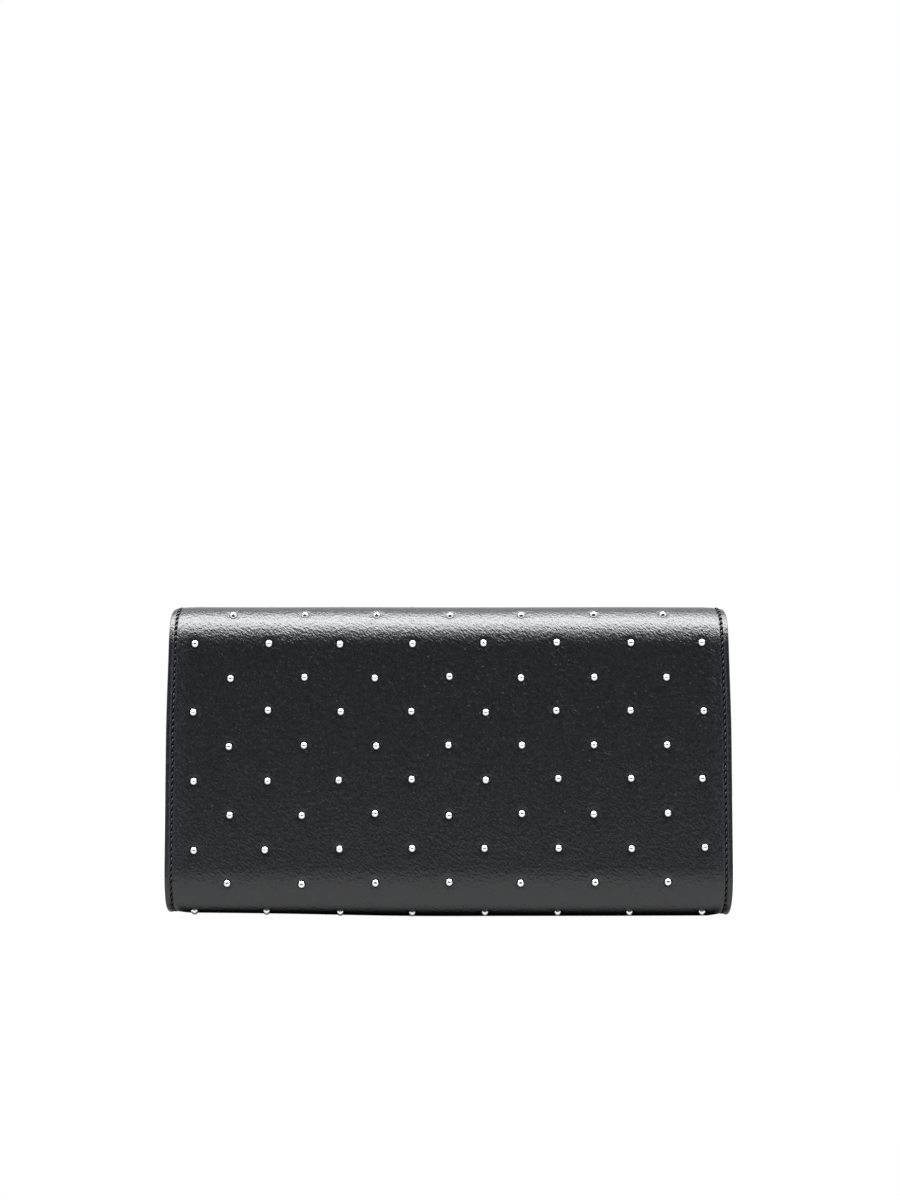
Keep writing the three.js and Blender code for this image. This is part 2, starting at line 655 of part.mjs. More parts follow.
// The leather tab: up the back wall, round the ring's bar and down again, its two ends sewn together.
function ringTab(name, side) {
  const loop = [];
  for (let angle = -10; angle <= 200; angle += 21) {
    const reach = RING_BORE + TAB_SKIN;
    loop.push([ringAxisY + reach * Math.cos(rad(angle)), RING_Z + reach * Math.sin(rad(angle))]);
  }
  const foot = RING_Z - TAB_FOOT;
  const neck = RING_Z - TAB_NECK;
  const face = (z, depth) => [backY(z, WALL) - TAB_STANDOFF - depth, z];
  const outline = [face(foot, 0), ...loop, face(neck, 2 * TAB_SKIN), face(foot, 2 * TAB_SKIN)];
  const hole = new THREE.CylinderGeometry(RING_BORE, RING_BORE, TAB_WIDTH + 2, 16);
  hole.rotateZ(Math.PI / 2).translate(side * RING_X, ringAxisY, RING_Z);
  add(name, cut(slab(outline, TAB_WIDTH, side * RING_X), hole), innerLeather);
}

// ---------------------------------------------------------------- assembly

caseWalls();
frontWalls();
topFold();
flapWalls();
gusset("left_gusset", -1);
gusset("right_gusset", 1);
cardSlots();
coinPocket();
zipTape("zip_tape_rear", 1);
zipTape("zip_tape_front", -1);
zipTeeth("zip_teeth_rear", 1);
zipTeeth("zip_teeth_front", -1);
zipStop("zip_stop_left", -1);
zipStop("zip_stop_right", 1);
zipSlider();
zipPull();
magneticSnap();
for (const [label, side] of [["left", -1], ["right", 1]]) {
  ringTab(`${label}_ring_tab`, side);
  ring(`${label}_ring`, side);
}

// The origin is under the middle of the whole depth, flap included.
const deepest = Math.max(...backCorner.map((p) => p.y));
wallet.position.y = -(deepest + flapHem.y) / 2;

export default wallet;
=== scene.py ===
"""Looks of the studded chain wallet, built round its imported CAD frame.

Metres, in the frame's own axes: +Z up, the flap faces -Y and the plain back +Y, X along the width.
Leather, lining, stitches and studs are laid out on one side profile, the same as the frame's. A place on
it is (x, u, depth): x along the width, u the arc length from the middle of the base, positive up the
back and over the fold and negative up the front wall, and depth the distance below the outer surface.
"""
import json
import math
import random

import bmesh
import bpy
import numpy as np
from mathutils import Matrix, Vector, noise


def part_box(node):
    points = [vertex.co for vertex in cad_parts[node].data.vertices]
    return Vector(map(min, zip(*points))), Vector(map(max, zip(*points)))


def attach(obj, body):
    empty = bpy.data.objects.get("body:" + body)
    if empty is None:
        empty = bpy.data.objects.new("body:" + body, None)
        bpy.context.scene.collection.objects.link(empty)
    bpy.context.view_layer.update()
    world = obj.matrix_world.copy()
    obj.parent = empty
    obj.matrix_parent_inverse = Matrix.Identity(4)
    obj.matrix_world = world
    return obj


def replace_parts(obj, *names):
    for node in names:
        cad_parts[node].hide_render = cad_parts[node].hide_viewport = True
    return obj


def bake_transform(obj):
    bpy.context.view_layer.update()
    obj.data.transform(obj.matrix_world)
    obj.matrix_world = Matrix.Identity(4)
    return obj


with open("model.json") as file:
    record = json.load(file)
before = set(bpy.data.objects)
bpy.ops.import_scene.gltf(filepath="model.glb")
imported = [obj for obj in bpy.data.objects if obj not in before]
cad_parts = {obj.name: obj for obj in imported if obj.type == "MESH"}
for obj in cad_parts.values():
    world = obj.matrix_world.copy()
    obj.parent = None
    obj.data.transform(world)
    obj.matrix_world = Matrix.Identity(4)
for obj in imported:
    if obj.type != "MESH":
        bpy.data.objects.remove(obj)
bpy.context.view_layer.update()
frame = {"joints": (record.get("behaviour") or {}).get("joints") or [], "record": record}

MM = 0.001
joints = {joint["name"]: joint for joint in frame["joints"]}

# ------------ dimensions

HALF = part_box("back_panel")[1].x
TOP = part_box("fold_panel")[1].z
MIDDLE_Y = frame["record"]["mounts"][0]["pos_m"][1]
BASE_FLAT = 14 * MM
BASE_TIGHT = (11 * MM, 60)  # base corner: radius, and turn in degrees
BASE_WIDE_RADIUS = 26 * MM
BACK_LEAN, FRONT_LEAN, FLAP_LEAN = 6, 4.5, 3.2
FOLD_REAR, FOLD_FRONT = 17 * MM, 12 * MM
FRONT_LENGTH = 83 * MM
FLAP_LENGTH = 78 * MM
WALL = 3.1 * MM  # leather, board and lining together
GAP = 0.25 * MM

CORNER = 6 * MM  # corners of the flap and of the front wall
TURN_IN = 8.2 * MM  # width of leather folded over to the inside
STITCH_INSET = 2.6 * MM
STITCH_PITCH = 2.6 * MM

STUD_RADIUS = 1.6 * MM
STUD_CAP = 1.22 * MM  # radius of the shallow cap, above the steep shoulder
STUD_SLOPES = (50, 72)  # degrees, at the cap's rim and at the foot
STUD_DENT = 0.27 * MM
ROW_PITCH = 13.62 * MM
ROW_UNDER_BASE = 1.3 * MM  # u of the row that the wallet stands on
LONG_ROW = 8  # studs; the rows between have one less
EDGE_TO_STUD, HEM_TO_STUD = 11.1 * MM, 7 * MM
ROW_SKEW = -0.0044  # the pattern is laid a little off square

LIFT = 0.5 * MM  # the leather stands this far off the floor, on its studs

# ------------ side profile


def walk(heading, legs, step=0.25 * MM):
    """Samples (u, y, z, heading in radians) along lines (length,) and arcs (radius, degrees)."""
    u, y, z = 0.0, 0.0, 0.0
    out = [(u, y, z, heading)]
    for leg in legs:
        turn = math.radians(leg[1]) if len(leg) > 1 else 0.0
        length = leg[0] * abs(turn) if len(leg) > 1 else leg[0]
        steps = max(2, int(length / step))
        for _ in range(steps):
            middle = heading + turn / steps / 2
            y += length / steps * math.cos(middle)
            z += length / steps * math.sin(middle)
            u += length / steps
            heading += turn / steps
            out.append((u, y, z, heading))
    return np.array(out)


def side_profile():
    """The wallet's profile, its marks along u, and u at the front wall's top edge."""
    corner = [(BASE_FLAT / 2,), BASE_TIGHT]
    back_turn = 90 + BACK_LEAN - BASE_TIGHT[1]
    foot = walk(0.0, [*corner, (BASE_WIDE_RADIUS, back_turn)])[-1]
    rise = FOLD_REAR * (1 - math.sin(math.radians(BACK_LEAN)))
    back = (TOP - rise - foot[2]) / math.cos(math.radians(BACK_LEAN))
    legs = [*corner, (BASE_WIDE_RADIUS, back_turn), (back,)]
    legs += [(FOLD_REAR, 90 - BACK_LEAN), (FOLD_FRONT, 90 - FLAP_LEAN), (FLAP_LENGTH,)]
    rear = walk(0.0, legs)
    front = walk(0.0, [*corner, (BASE_WIDE_RADIUS, 90 + FRONT_LEAN - BASE_TIGHT[1]), (FRONT_LENGTH,)])
    lengths = [leg[0] if len(leg) == 1 else leg[0] * math.radians(leg[1]) for leg in legs]
    mirrored = front[:0:-1] * [-1, -1, 1, -1]
    return np.vstack([mirrored, rear]), np.cumsum(lengths), -front[-1][0]


PROFILE, MARKS, FRONT_TOP = side_profile()
BACK_FOOT, BACK_TOP, CREST, FLAP_TOP, HEM = MARKS[2:7]
FRONT_FOOT = FRONT_TOP + FRONT_LENGTH
SEAM = CREST + 1 * MM  # where the back's leather hands over to the flap's


def smooth(t):
    t = np.clip(t, 0.0, 1.0)
    return t * t * (3 - 2 * t)


def hump(value, middle, reach):
    return np.exp(-(((value - middle) / reach) ** 2))


def on_profile(u):
    """y, z and heading at u."""
    y, z, heading = (np.interp(u, PROFILE[:, 0], PROFILE[:, i]) for i in (1, 2, 3))
    return y + MIDDLE_Y, z, heading


def u_at(z, low, high):
    """u between low and high where the outer surface is at height z."""
    us = np.linspace(low, high, 400)
    zs = on_profile(us)[1]
    order = np.argsort(zs)
    return float(np.interp(z, zs[order], us[order]))


def squeeze(u):
    """How far each side edge is drawn in at u: towards the top fold, at its crest and round the base."""
    rise = smooth((u - 85 * MM) / (50 * MM)) * (1 - smooth((u - CREST) / (50 * MM)))
    return 0.8 * MM * rise + 0.9 * MM * hump(u, CREST, 7 * MM) + 1.0 * MM * hump(abs(u), 8 * MM, 9 * MM)


def place(x, u, depth=0.0):
    """The point at (x, u, depth), as an array of [x, y, z]."""
    x, u, depth = np.broadcast_arrays(np.asarray(x, float), np.asarray(u, float), np.asarray(depth, float))
    y, z, heading = on_profile(u)
    edge = smooth((abs(x) - 0.5 * HALF) / (0.5 * HALF))
    droop = 0.35 * MM * hump(u, CREST, 9 * MM) * smooth(1 - (HALF - abs(x)) / (2 * MM))
    y = y - (depth + droop) * np.sin(heading)
    z = z + (depth + droop) * np.cos(heading)
    low = np.clip(1 - z / (9 * MM), 0, 1) ** 2
    bow = 1.5 * MM * smooth(x / HALF) + 0.25 * MM * smooth(-x / HALF)
    return np.stack([x - np.sign(x) * edge * squeeze(u), y, z + low * (LIFT + bow)], axis=-1)


def outwards(u):
    heading = float(on_profile(u)[2])
    return Vector((0, math.sin(heading), -math.cos(heading)))


# ------------ studs' places and the leather's relief

COLUMN_PITCH = 2 * (HALF - EDGE_TO_STUD) / (LONG_ROW - 1)
ROW_SHIFTS = {1: -1.2 * MM, 11: 1.4 * MM}  # the rows on the base's curve and over the fold sit a little off
STUDS_START = FRONT_FOOT - 12 * MM  # the front wall is plain where the flap covers it


def stud_places():
    """(x, u) of every stud: long and short rows by turns, each a little off its place."""
    rng = random.Random(11)
    places = []
    first = math.ceil((STUDS_START - ROW_UNDER_BASE) / ROW_PITCH)
    last = math.floor((HEM - HEM_TO_STUD - ROW_UNDER_BASE) / ROW_PITCH)
    for row in range(first, last + 1):
        count = LONG_ROW - 1 if row % 2 == 0 else LONG_ROW
        for column in range(count):
            x = (column - (count - 1) / 2) * COLUMN_PITCH + rng.gauss(0, 0.3 * MM)
            u = ROW_UNDER_BASE + row * ROW_PITCH + ROW_SHIFTS.get(row, 0) + ROW_SKEW * x
            places.append((x, u + rng.gauss(0, 0.2 * MM)))
    return np.array(places)


STUDS = stud_places()


def dents(x, u):
    """How deep the leather is pressed in round its studs."""
    near = np.full(np.shape(x), np.inf)
    for stud_x, stud_u in STUDS:
        near = np.minimum(near, np.hypot(x - stud_x, u - stud_u))
    return STUD_DENT * np.exp(-((np.clip(near - STUD_RADIUS, 0, None) / (0.85 * MM)) ** 2))


def waves(x, u):
    """Slow unevenness of hand-laid leather."""
    flat = [noise.noise(Vector((a * 22, b * 22, 0.3))) for a, b in zip(np.ravel(x), np.ravel(u))]
    return 0.12 * MM * np.reshape(flat, np.shape(x))


EDGE_BEAD = 0.42 * MM  # depth of the leather where its painted edge begins
GROOVE = 0.42 * MM  # depth of the line that the stitches pull in


def crown(edge, u):
    """Depth of a wall's outer face at a distance from its edge: padded middle, stitch groove, strip."""
    pad = 0.85 * MM * (1 - 0.85 * hump(u, CREST, 14 * MM))
    inside = pad * (1 - smooth((edge - STITCH_INSET) / (6.5 * MM)))
    strip = pad + (EDGE_BEAD - pad) * smooth((STITCH_INSET - edge) / (1.8 * MM))
    return np.where(edge < STITCH_INSET, strip, inside) + GROOVE * hump(edge, STITCH_INSET, 0.7 * MM)


SNAP_HEIGHT = 52 * MM
SOCKET_U = u_at(SNAP_HEIGHT, FRONT_TOP, FRONT_FOOT)


def recess(x, u):
    """The front wall's leather goes in under the snap's socket."""
    return 1.1 * MM * (1 - smooth((np.hypot(x, u - SOCKET_U) - 5.6 * MM) / (1.1 * MM)))


# ------------ mesh helpers

TILE = 10  # texture units to a metre


def in_mm(pairs):
    return [(a * MM, b * MM) for a, b in pairs]


def new_object(name, vertices, faces, uv=None, index=None):
    mesh = bpy.data.meshes.new(name)
    mesh.from_pydata([tuple(v) for v in vertices], [], [tuple(f) for f in faces])
    if uv is not None:
        layer = mesh.uv_layers.new(name="flat")
        loops = np.empty(len(mesh.loops), np.int32)
        mesh.loops.foreach_get("vertex_index", loops)
        layer.data.foreach_set("uv", np.asarray(uv, np.float32)[loops].ravel())
    if index is not None:
        mesh.polygons.foreach_set("material_index", np.asarray(index, np.int32))
    mesh.polygons.foreach_set("use_smooth", [True] * len(mesh.polygons))
    obj = bpy.data.objects.new(name, mesh)
    bpy.context.scene.collection.objects.link(obj)
    return obj


def close_up(obj, weld=True):
    """Turns a piece's faces outwards, after welding its strips and closing its open ends with flat caps."""
    bm = bmesh.new()
    bm.from_mesh(obj.data)
    if weld:
        bmesh.ops.remove_doubles(bm, verts=bm.verts, dist=0.004 * MM)
        bmesh.ops.delete(bm, geom=[v for v in bm.verts if not v.link_faces], context="VERTS")
        open_edges = [e for e in bm.edges if e.is_boundary]
        for cap in bmesh.ops.holes_fill(bm, edges=open_edges, sides=0)["faces"]:
            cap.smooth = False
            for edge in cap.edges:
                edge.smooth = False
    bmesh.ops.recalc_face_normals(bm, faces=bm.faces)
    bm.to_mesh(obj.data)
    bm.free()


def grid_faces(rows, columns, start=0):
    """Quads over a block of vertices, rows by columns."""
    index = start + np.arange(rows * columns).reshape(rows, columns)
    corners = [index[:-1, :-1], index[1:, :-1], index[1:, 1:], index[:-1, 1:]]
    return np.stack(corners, axis=-1).reshape(-1, 4).tolist()


def ring_faces(rings, n, closed=False, capped=True):
    """Quads between rings of n vertices, laid end to end: in a closed loop, or with a cap at each end."""
    faces = [(r * n + k, (r + 1) % rings * n + k, (r + 1) % rings * n + (k + 1) % n, r * n + (k + 1) % n)
             for r in range(rings if closed else rings - 1) for k in range(n)]
    if capped and not closed:
        faces += [tuple(range(n)), tuple(range((rings - 1) * n, rings * n))]
    return faces


def spaced(start, stop, step):
    return np.linspace(start, stop, max(2, int(round(abs(stop - start) / step)) + 1))


class Builder:
    """Collects the vertices and faces of many small parts into one object."""

    def __init__(self):
        self.vertices, self.faces, self.uv = [], [], []

    def add(self, part):
        start = len(self.vertices)
        vertices, faces = part
        self.vertices += [tuple(v) for v in vertices]
        self.uv += [(v[0] * TILE, v[2] * TILE) for v in vertices]
        self.faces += [[start + i for i in face] for face in faces]

    def make(self, name):
        obj = new_object(name, self.vertices, self.faces, self.uv)
        close_up(obj, weld=False)
        return obj


def tube(points, radius, sides=8, closed=False, across=(0, 1, 0)):
    """A tube through points. across is a direction that the path never takes."""
    points = [Vector(p) for p in points]
    count = len(points)
    up = Vector(across)
    vertices = []
    for i, point in enumerate(points):
        before = points[(i - 1) % count] if closed or i else point
        after = points[(i + 1) % count] if closed or i < count - 1 else point
        along = (after - before).normalized()
        side = along.cross(up).normalized()
        rise = side.cross(along)
        size = radius[i] if isinstance(radius, list) else radius
        for k in range(sides):
            angle = 2 * math.pi * k / sides
            vertices.append(point + size * (math.cos(angle) * side + math.sin(angle) * rise))
    return vertices, ring_faces(count, sides, closed)


def turned(profile, origin, axis, sides=24):
    """A turned solid: profile is (radius, height) pairs from one end of its axis to the other."""
    axis = Vector(axis).normalized()
    side = axis.orthogonal().normalized()
    other = axis.cross(side)
    vertices, rings = [], []
    for radius, height in profile:
        middle = Vector(origin) + axis * height
        count = sides if radius > 1e-7 else 1
        rings.append(list(range(len(vertices), len(vertices) + count)))
        for k in range(count):
            angle = 2 * math.pi * k / sides
            vertices.append(middle + radius * (math.cos(angle) * side + math.sin(angle) * other))
    faces = []
    for low, high in zip(rings, rings[1:]):
        for k in range(sides):
            corners = [low[k % len(low)], low[(k + 1) % len(low)]]
            corners += [high[(k + 1) % len(high)], high[k % len(high)]]
            faces.append(tuple(dict.fromkeys(corners)))
    return vertices, faces


def pressed(rim, low, high, bevel):
    """A flat plate with bevelled edges: rim is (x, y) pairs round a convex shape."""
    rim = np.array(rim)
    middle = np.mean(rim, axis=0)
    inner = middle + (rim - middle) * (1 - bevel / np.linalg.norm(rim - middle, axis=1))[:, None]
    levels = [(inner, low), (rim, low + bevel), (rim, high - bevel), (inner, high)]
    vertices = [(x, y, height) for ring, height in levels for x, y in ring]
    return vertices, ring_faces(4, len(rim))


def rounded(half_a, half_b, radius, middle=(0, 0), per_corner=5):
    """Points round a rectangle with rounded corners."""
    out = []
    for quarter in range(4):
        sa, sb = [(1, 1), (-1, 1), (-1, -1), (1, -1)][quarter]
        for i in range(per_corner + 1):
            angle = math.pi / 2 * (quarter + i / per_corner)
            a = sa * (half_a - radius) + radius * math.cos(angle)
            b = sb * (half_b - radius) + radius * math.sin(angle)
            out.append((middle[0] + a, middle[1] + b))
    return out


# ------------ slabs: flat pieces with finished edges


def outline(half, length, offset, corner, rows, columns, rounded_end):
    """Chains of (x, v) at a distance inside a slab's edge. v runs from its start."""
    left = [(-half + offset, min(v, length - offset) if rounded_end else v) for v in rows]
    if not rounded_end:
        return [left, [(-x, v) for x, v in reversed(left)]]
    reach, beyond = max(corner - offset, 0.0), max(offset - corner, 0.0)
    bend = []
    for i in range(1, 8):
        angle = math.pi / 2 * i / 8
        x = -half + corner + beyond - reach * math.cos(angle)
        bend.append((x, length - corner - beyond + reach * math.sin(angle)))
    end = [(min(max(x, -half + offset), half - offset), length - offset) for x in columns]
    right = [(-x, v) for x, v in reversed(left + bend)]
    return [left + bend + end + right]


def slab(name, half, length, section, to_space, top=None, rounded_end=True, step=1 * MM):
    """A closed slab. section is (offset, depth) pairs from its back face, round its edge, to its front face's
    corner radius; top(x, v, edge) gives the front face's depth; to_space(x, v, depth) places the points."""
    corner, turn_in = section[-1][0], section[0][0]
    rows = spaced(0, length - (corner if rounded_end else 0), step)
    columns = spaced(-half + corner, half - corner, step)
    rings = [outline(half, length, offset, corner, rows, columns, rounded_end) for offset, _ in section]
    split = min(range(len(section)), key=lambda i: section[i][1] if section[i][0] == 0 else 1)
    flat, depth, faces, index, facing = [], [], [], [], []
    for chain in range(len(rings[0])):
        first, count = len(flat), len(rings[0][chain])
        for i, (ring, (offset, level)) in enumerate(zip(rings, section)):
            flat += ring[chain]
            depth += [level] * count
            facing += [i > split] * count
        faces += grid_faces(len(rings), count, first)
        for i in range(len(rings) - 1):
            painted = section[i][0] < 0.5 * MM and section[i + 1][0] < 0.5 * MM
            index += [1 if painted else 0] * (count - 1)
    for inset, is_top in ((corner, True), (turn_in, False)):
        first = len(flat)
        for v in rows:
            for x in columns:
                limit = length - inset if rounded_end else length
                flat.append((min(max(x, -half + inset), half - inset), min(v, limit)))
                depth.append(0.0 if is_top else section[0][1])
                facing.append(is_top)
        block = grid_faces(len(rows), len(columns), first)
        faces += block
        index += [0] * len(block)
    x, v = np.array(flat).T
    edge = half - abs(x)
    if rounded_end:
        edge = np.minimum(edge, length - v)
        past = (abs(x) - (half - corner), v - (length - corner))
        from_corner = np.hypot(*(np.clip(distance, 0, None) for distance in past))
        edge = np.where(from_corner > 0, np.minimum(edge, corner - from_corner), edge)
    facing = np.array(facing)
    shown = facing & (edge > 0.3 * MM)
    depth = np.where(shown, top(x, v, edge) if top else 0.0, depth)
    uv = np.stack([x, v + 0.4 * ~facing], 1) * TILE
    obj = new_object(name, to_space(x, v, depth), faces, uv, index)
    close_up(obj)
    return obj


WALL_SECTION = in_mm([
    (8.2, 1.3), (8.2, 3.1), (4, 3.1), (0.7, 3.1), (0.35, 3.0), (0.1, 2.75), (0, 2.35), (0, 1.6), (0, 0.95),
    (0.08, 0.66), (0.25, 0.45), (0.5, 0.39), (0.9, 0.38), (1.3, 0.38), (1.7, 0.4), (2.0, 0.5), (2.2, 0.55),
    (2.4, 0.62), (2.6, 0.68), (2.8, 0.64), (3.0, 0.55), (3.3, 0.45), (3.8, 0.37), (4.4, 0.34), (5.2, 0.3),
    (6.0, 0.26),
])


def thin_section(t):
    """Edge of a leather slab t millimetres thick, with a creased line round it."""
    back = [(1.2, t), (0.3, t), (0.08, t - 0.12), (0, t * 0.62), (0, t * 0.38), (0.08, 0.12), (0.3, 0)]
    return in_mm(back + [(0.7, 0), (1.3, 0), (1.6, 0.07), (1.9, 0.07), (2.2, 0), (3, 0)])


def crease(x, v, edge):
    return 0.09 * MM * hump(edge, 1.75 * MM, 0.25 * MM)


def wall(name, start, stop, rounded_end):
    """A leather wall from u = start to u = stop, turned in at its edges."""
    sign = 1 if stop > start else -1

    def top(x, v, edge):
        u = start + sign * v
        depth = crown(edge, u) + dents(x, u) - waves(x, u)
        return depth + (recess(x, u) if sign < 0 else 0)

    return slab(name, HALF, abs(stop - start), WALL_SECTION,
                lambda x, v, d: place(x, start + sign * v, d), top, rounded_end, 0.8 * MM)


def sheet(name, start, stop, half, outer, inner, step=2 * MM):
    """A plain layer inside a wall, between two depths, from u = start to u = stop."""
    sign = 1 if stop > start else -1
    t = inner - outer
    section = [(0.6 * MM, t), (0.1 * MM, t), (0, 0.7 * t), (0, 0.3 * t), (0.1 * MM, 0), (0.6 * MM, 0)]
    return slab(name, half, abs(stop - start), section,
                lambda x, v, d: place(x, start + sign * v, inner - d), None, False, step)


# places along a stitch as parts of its length, with how far it sinks (mm) and how thick it is there
STITCH = [(-0.5, 0.32, 0.55), (-0.4, 0.1, 0.9), (-0.18, -0.07, 1), (0.18, -0.07, 1), (0.4, 0.1, 0.9),
          (0.5, 0.32, 0.55)]
STITCH_SLANT, HOLE_SLANT = 13, 42  # degrees
# The needle holes are near-black slanted tubes that stand out of the leather between the stitches: painted
# shade in the holes, drawn larger over the fold.
HOLE_LENGTH, HOLE_DEPTH = 2.6 * MM, 0.22 * MM
HOLE = [(-0.5, 0.1), (-0.3, 0.5), (0, 0.64), (0.3, 0.5), (0.5, 0.1)]  # the same, with its radius in mm
HOLE_SHUT, HOLE_OPENS = 0.66, 0.34  # the holes' share of that radius on the flat, and what the fold adds
FOLD_FROM, FOLD_OVER = 108 * MM, 6 * MM  # heights over which they open
FINE_THREAD = 0.17 * MM


def aslant(middle, along, degrees, length, shape):
    """Arrays of x and v at the places of shape, on a line through middle that is turned from along."""
    c, s = math.cos(math.radians(degrees)), math.sin(math.radians(degrees))
    turn = np.array([along[0] * c - along[1] * s, along[0] * s + along[1] * c])
    return np.array([middle + turn * length * point[0] for point in shape]).T


def stitches(name, chains, to_space, depth, pitch=STITCH_PITCH, length=1.9 * MM, proud=1, thread=FINE_THREAD,
             holes=None):
    """Slanted thread stitches along chains of (x, v). proud is 1 for the front face and -1 for the back.
    holes is a Builder for near-black tubes between them, which paint the shade in the slanted needle holes."""
    out = Builder()
    for chain in chains:
        chain = np.array(chain)
        lengths = np.concatenate([[0], np.cumsum(np.linalg.norm(np.diff(chain, axis=0), axis=1))])
        keep = np.concatenate([[True], np.diff(lengths) > 1e-9])
        chain, lengths = chain[keep], lengths[keep]
        count = int(lengths[-1] / pitch)
        for i in range(count):
            s = (i + 0.5) * lengths[-1] / count
            marks = (s, s + 0.3 * MM, s + lengths[-1] / count / 2)
            middle, ahead, between = (np.array([np.interp(mark, lengths, chain[:, k]) for k in (0, 1)])
                                      for mark in marks)
            along = (ahead - middle) / max(np.linalg.norm(ahead - middle), 1e-9)
            x, v = aslant(middle, along, STITCH_SLANT, length, STITCH)
            points = to_space(x, v, np.array([depth + proud * sink * MM for _, sink, _ in STITCH]))
            across = (Vector(points[2]) * 2 - Vector(points[0]) - Vector(points[-1])).normalized()
            out.add(tube(points, [thread * size for _, _, size in STITCH], 6, across=across))
            if holes and i < count - 1:
                x, v = aslant(between, along, HOLE_SLANT, HOLE_LENGTH, HOLE)
                points = to_space(x, v, np.full(len(x), depth + HOLE_DEPTH))
                pull = HOLE_SHUT + HOLE_OPENS * float(smooth((points[0][2] - FOLD_FROM) / FOLD_OVER))
                holes.add(tube(points, [pull * radius * MM for _, radius in HOLE], 6, across=across))
    return out.make(name)


def edge_chains(half, length, inset, corner, rounded_end):
    rows = spaced(0, length - (corner if rounded_end else 0), 1 * MM)
    columns = spaced(-half + corner, half - corner, 1 * MM)
    return outline(half, length, inset, corner, rows, columns, rounded_end)


# ------------ materials


class Nodes:
    """A node tree in the making."""

    def __init__(self, tree):
        tree.nodes.clear()
        self.nodes, self.links = tree.nodes, tree.links

    def node(self, kind, inputs=None, **settings):
        node = self.nodes.new("ShaderNode" + kind)
        for key, value in settings.items():
            setattr(node, key, value)
        for key, value in (inputs or {}).items():
            if hasattr(value, "is_linked"):
                self.links.new(value, node.inputs[key])
            else:
                node.inputs[key].default_value = value
        return node

    def math(self, operation, a, b):
        return self.node("Math", {0: a, 1: b}, operation=operation).outputs[0]

    def soft_step(self, value, start, stop):
        inputs = {"Value": value, "From Min": start, "From Max": stop}
        return self.node("MapRange", inputs, interpolation_type="SMOOTHSTEP").outputs["Result"]


class Look(Nodes):
    """A procedural material, built round one Principled shader."""

    def __init__(self, name, **values):
        self.material = bpy.data.materials.new(name)
        self.material.use_nodes = True
        super().__init__(self.material.node_tree)
        self.shader = self.node("BsdfPrincipled", {key.replace("_", " "): v for key, v in values.items()})
        self.node("OutputMaterial", {"Surface": self.shader.outputs["BSDF"]})
        self.coordinates = self.node("TexCoord")

    def where(self, scale=(1, 1, 1), source="UV"):
        inputs = {"Vector": self.coordinates.outputs[source], "Scale": scale}
        return self.node("Mapping", inputs).outputs["Vector"]

    def noise(self, vector, scale, detail=3.0, roughness=0.5, distortion=0.0):
        inputs = {"Vector": vector, "Scale": scale, "Detail": detail, "Roughness": roughness,
                  "Distortion": distortion}
        return self.node("TexNoise", inputs).outputs["Fac"]

    def bands(self, vector, scale, direction, distortion):
        inputs = {"Vector": vector, "Scale": scale, "Distortion": distortion}
        return self.node("TexWave", inputs, bands_direction=direction).outputs["Fac"]

    def spread(self, factor, low, high):
        return self.node("MapRange", {"Value": factor, "To Min": low, "To Max": high}).outputs["Result"]

    def use(self, socket, value):
        self.links.new(value, self.shader.inputs[socket])

    def colour(self, factor, low, high, span=(0.3, 0.7)):
        """The base colour, from low to high as factor goes over span."""
        ramp = self.node("ValToRGB", {"Fac": factor})
        for element, position, colour in zip(ramp.color_ramp.elements, span, (low, high)):
            element.position = position
            element.color = (*colour, 1)
        self.use("Base Color", ramp.outputs["Color"])

    def bump(self, *layers):
        """layers are (height, depth in metres), laid one on another."""
        normal = None
        for height, depth in layers:
            inputs = {"Height": height, "Distance": depth, "Strength": 1.0}
            if normal is not None:
                inputs["Normal"] = normal
            normal = self.node("Bump", inputs).outputs["Normal"]
        self.use("Normal", normal)


def leather_look(name, dark, light, roughness, grain=1.0):
    look = Look(name, IOR=1.55)
    flat = look.where()
    wobble = look.node("TexNoise", {"Vector": flat, "Scale": 60.0, "Detail": 2.0}).outputs["Color"]
    bent = look.node("MixRGB", {"Fac": 0.012, "Color1": flat, "Color2": wobble}, blend_type="ADD").outputs[0]
    # turned first and stretched after, so that the grain runs aslant
    turned_grain = look.node("Mapping", {"Vector": bent, "Rotation": (0, 0, math.radians(40))}).outputs[0]
    slanted = look.node("Mapping", {"Vector": turned_grain, "Scale": (1.0, 0.5, 1.0)}).outputs[0]
    streaks = look.node("Mapping", {"Vector": turned_grain, "Scale": (1.0, 0.22, 1.0)}).outputs[0]
    look.colour(look.noise(flat, 9, 4, 0.6), dark, light)
    pebble = look.node("TexVoronoi", {"Vector": slanted, "Scale": 135}).outputs["Distance"]
    fine = look.noise(flat, 300, 3, 0.6)
    folds = look.noise(streaks, 130, 3, 0.6, 0.6)
    wear = look.spread(look.noise(flat, 55, 3, 0.6), roughness - 0.05, roughness + 0.05)
    look.use("Roughness", look.math("ADD", wear, look.spread(fine, -0.03, 0.03)))
    look.bump((pebble, 0.155 * MM * grain), (folds, 0.085 * MM * grain), (fine, 0.045 * MM * grain))
    return look.material


def paint_look():
    look = Look("edge_paint", IOR=1.5)
    flat = look.where(source="Object")
    look.colour(look.noise(flat, 300, 3), (0.012, 0.012, 0.014), (0.02, 0.02, 0.023))
    look.use("Roughness", look.spread(look.noise(flat, 900, 2), 0.34, 0.5))
    look.bump((look.noise(flat, 1400, 2), 0.03 * MM))
    return look.material


def thread_look():
    look = Look("thread", IOR=1.5)
    around = look.where(source="Object")
    twist = look.bands(around, 900, "DIAGONAL", 1.5)
    look.colour(twist, (0.006, 0.006, 0.007), (0.018, 0.018, 0.021), (0.2, 0.8))
    look.use("Roughness", look.spread(twist, 0.45, 0.65))
    look.bump((twist, 0.03 * MM))
    return look.material


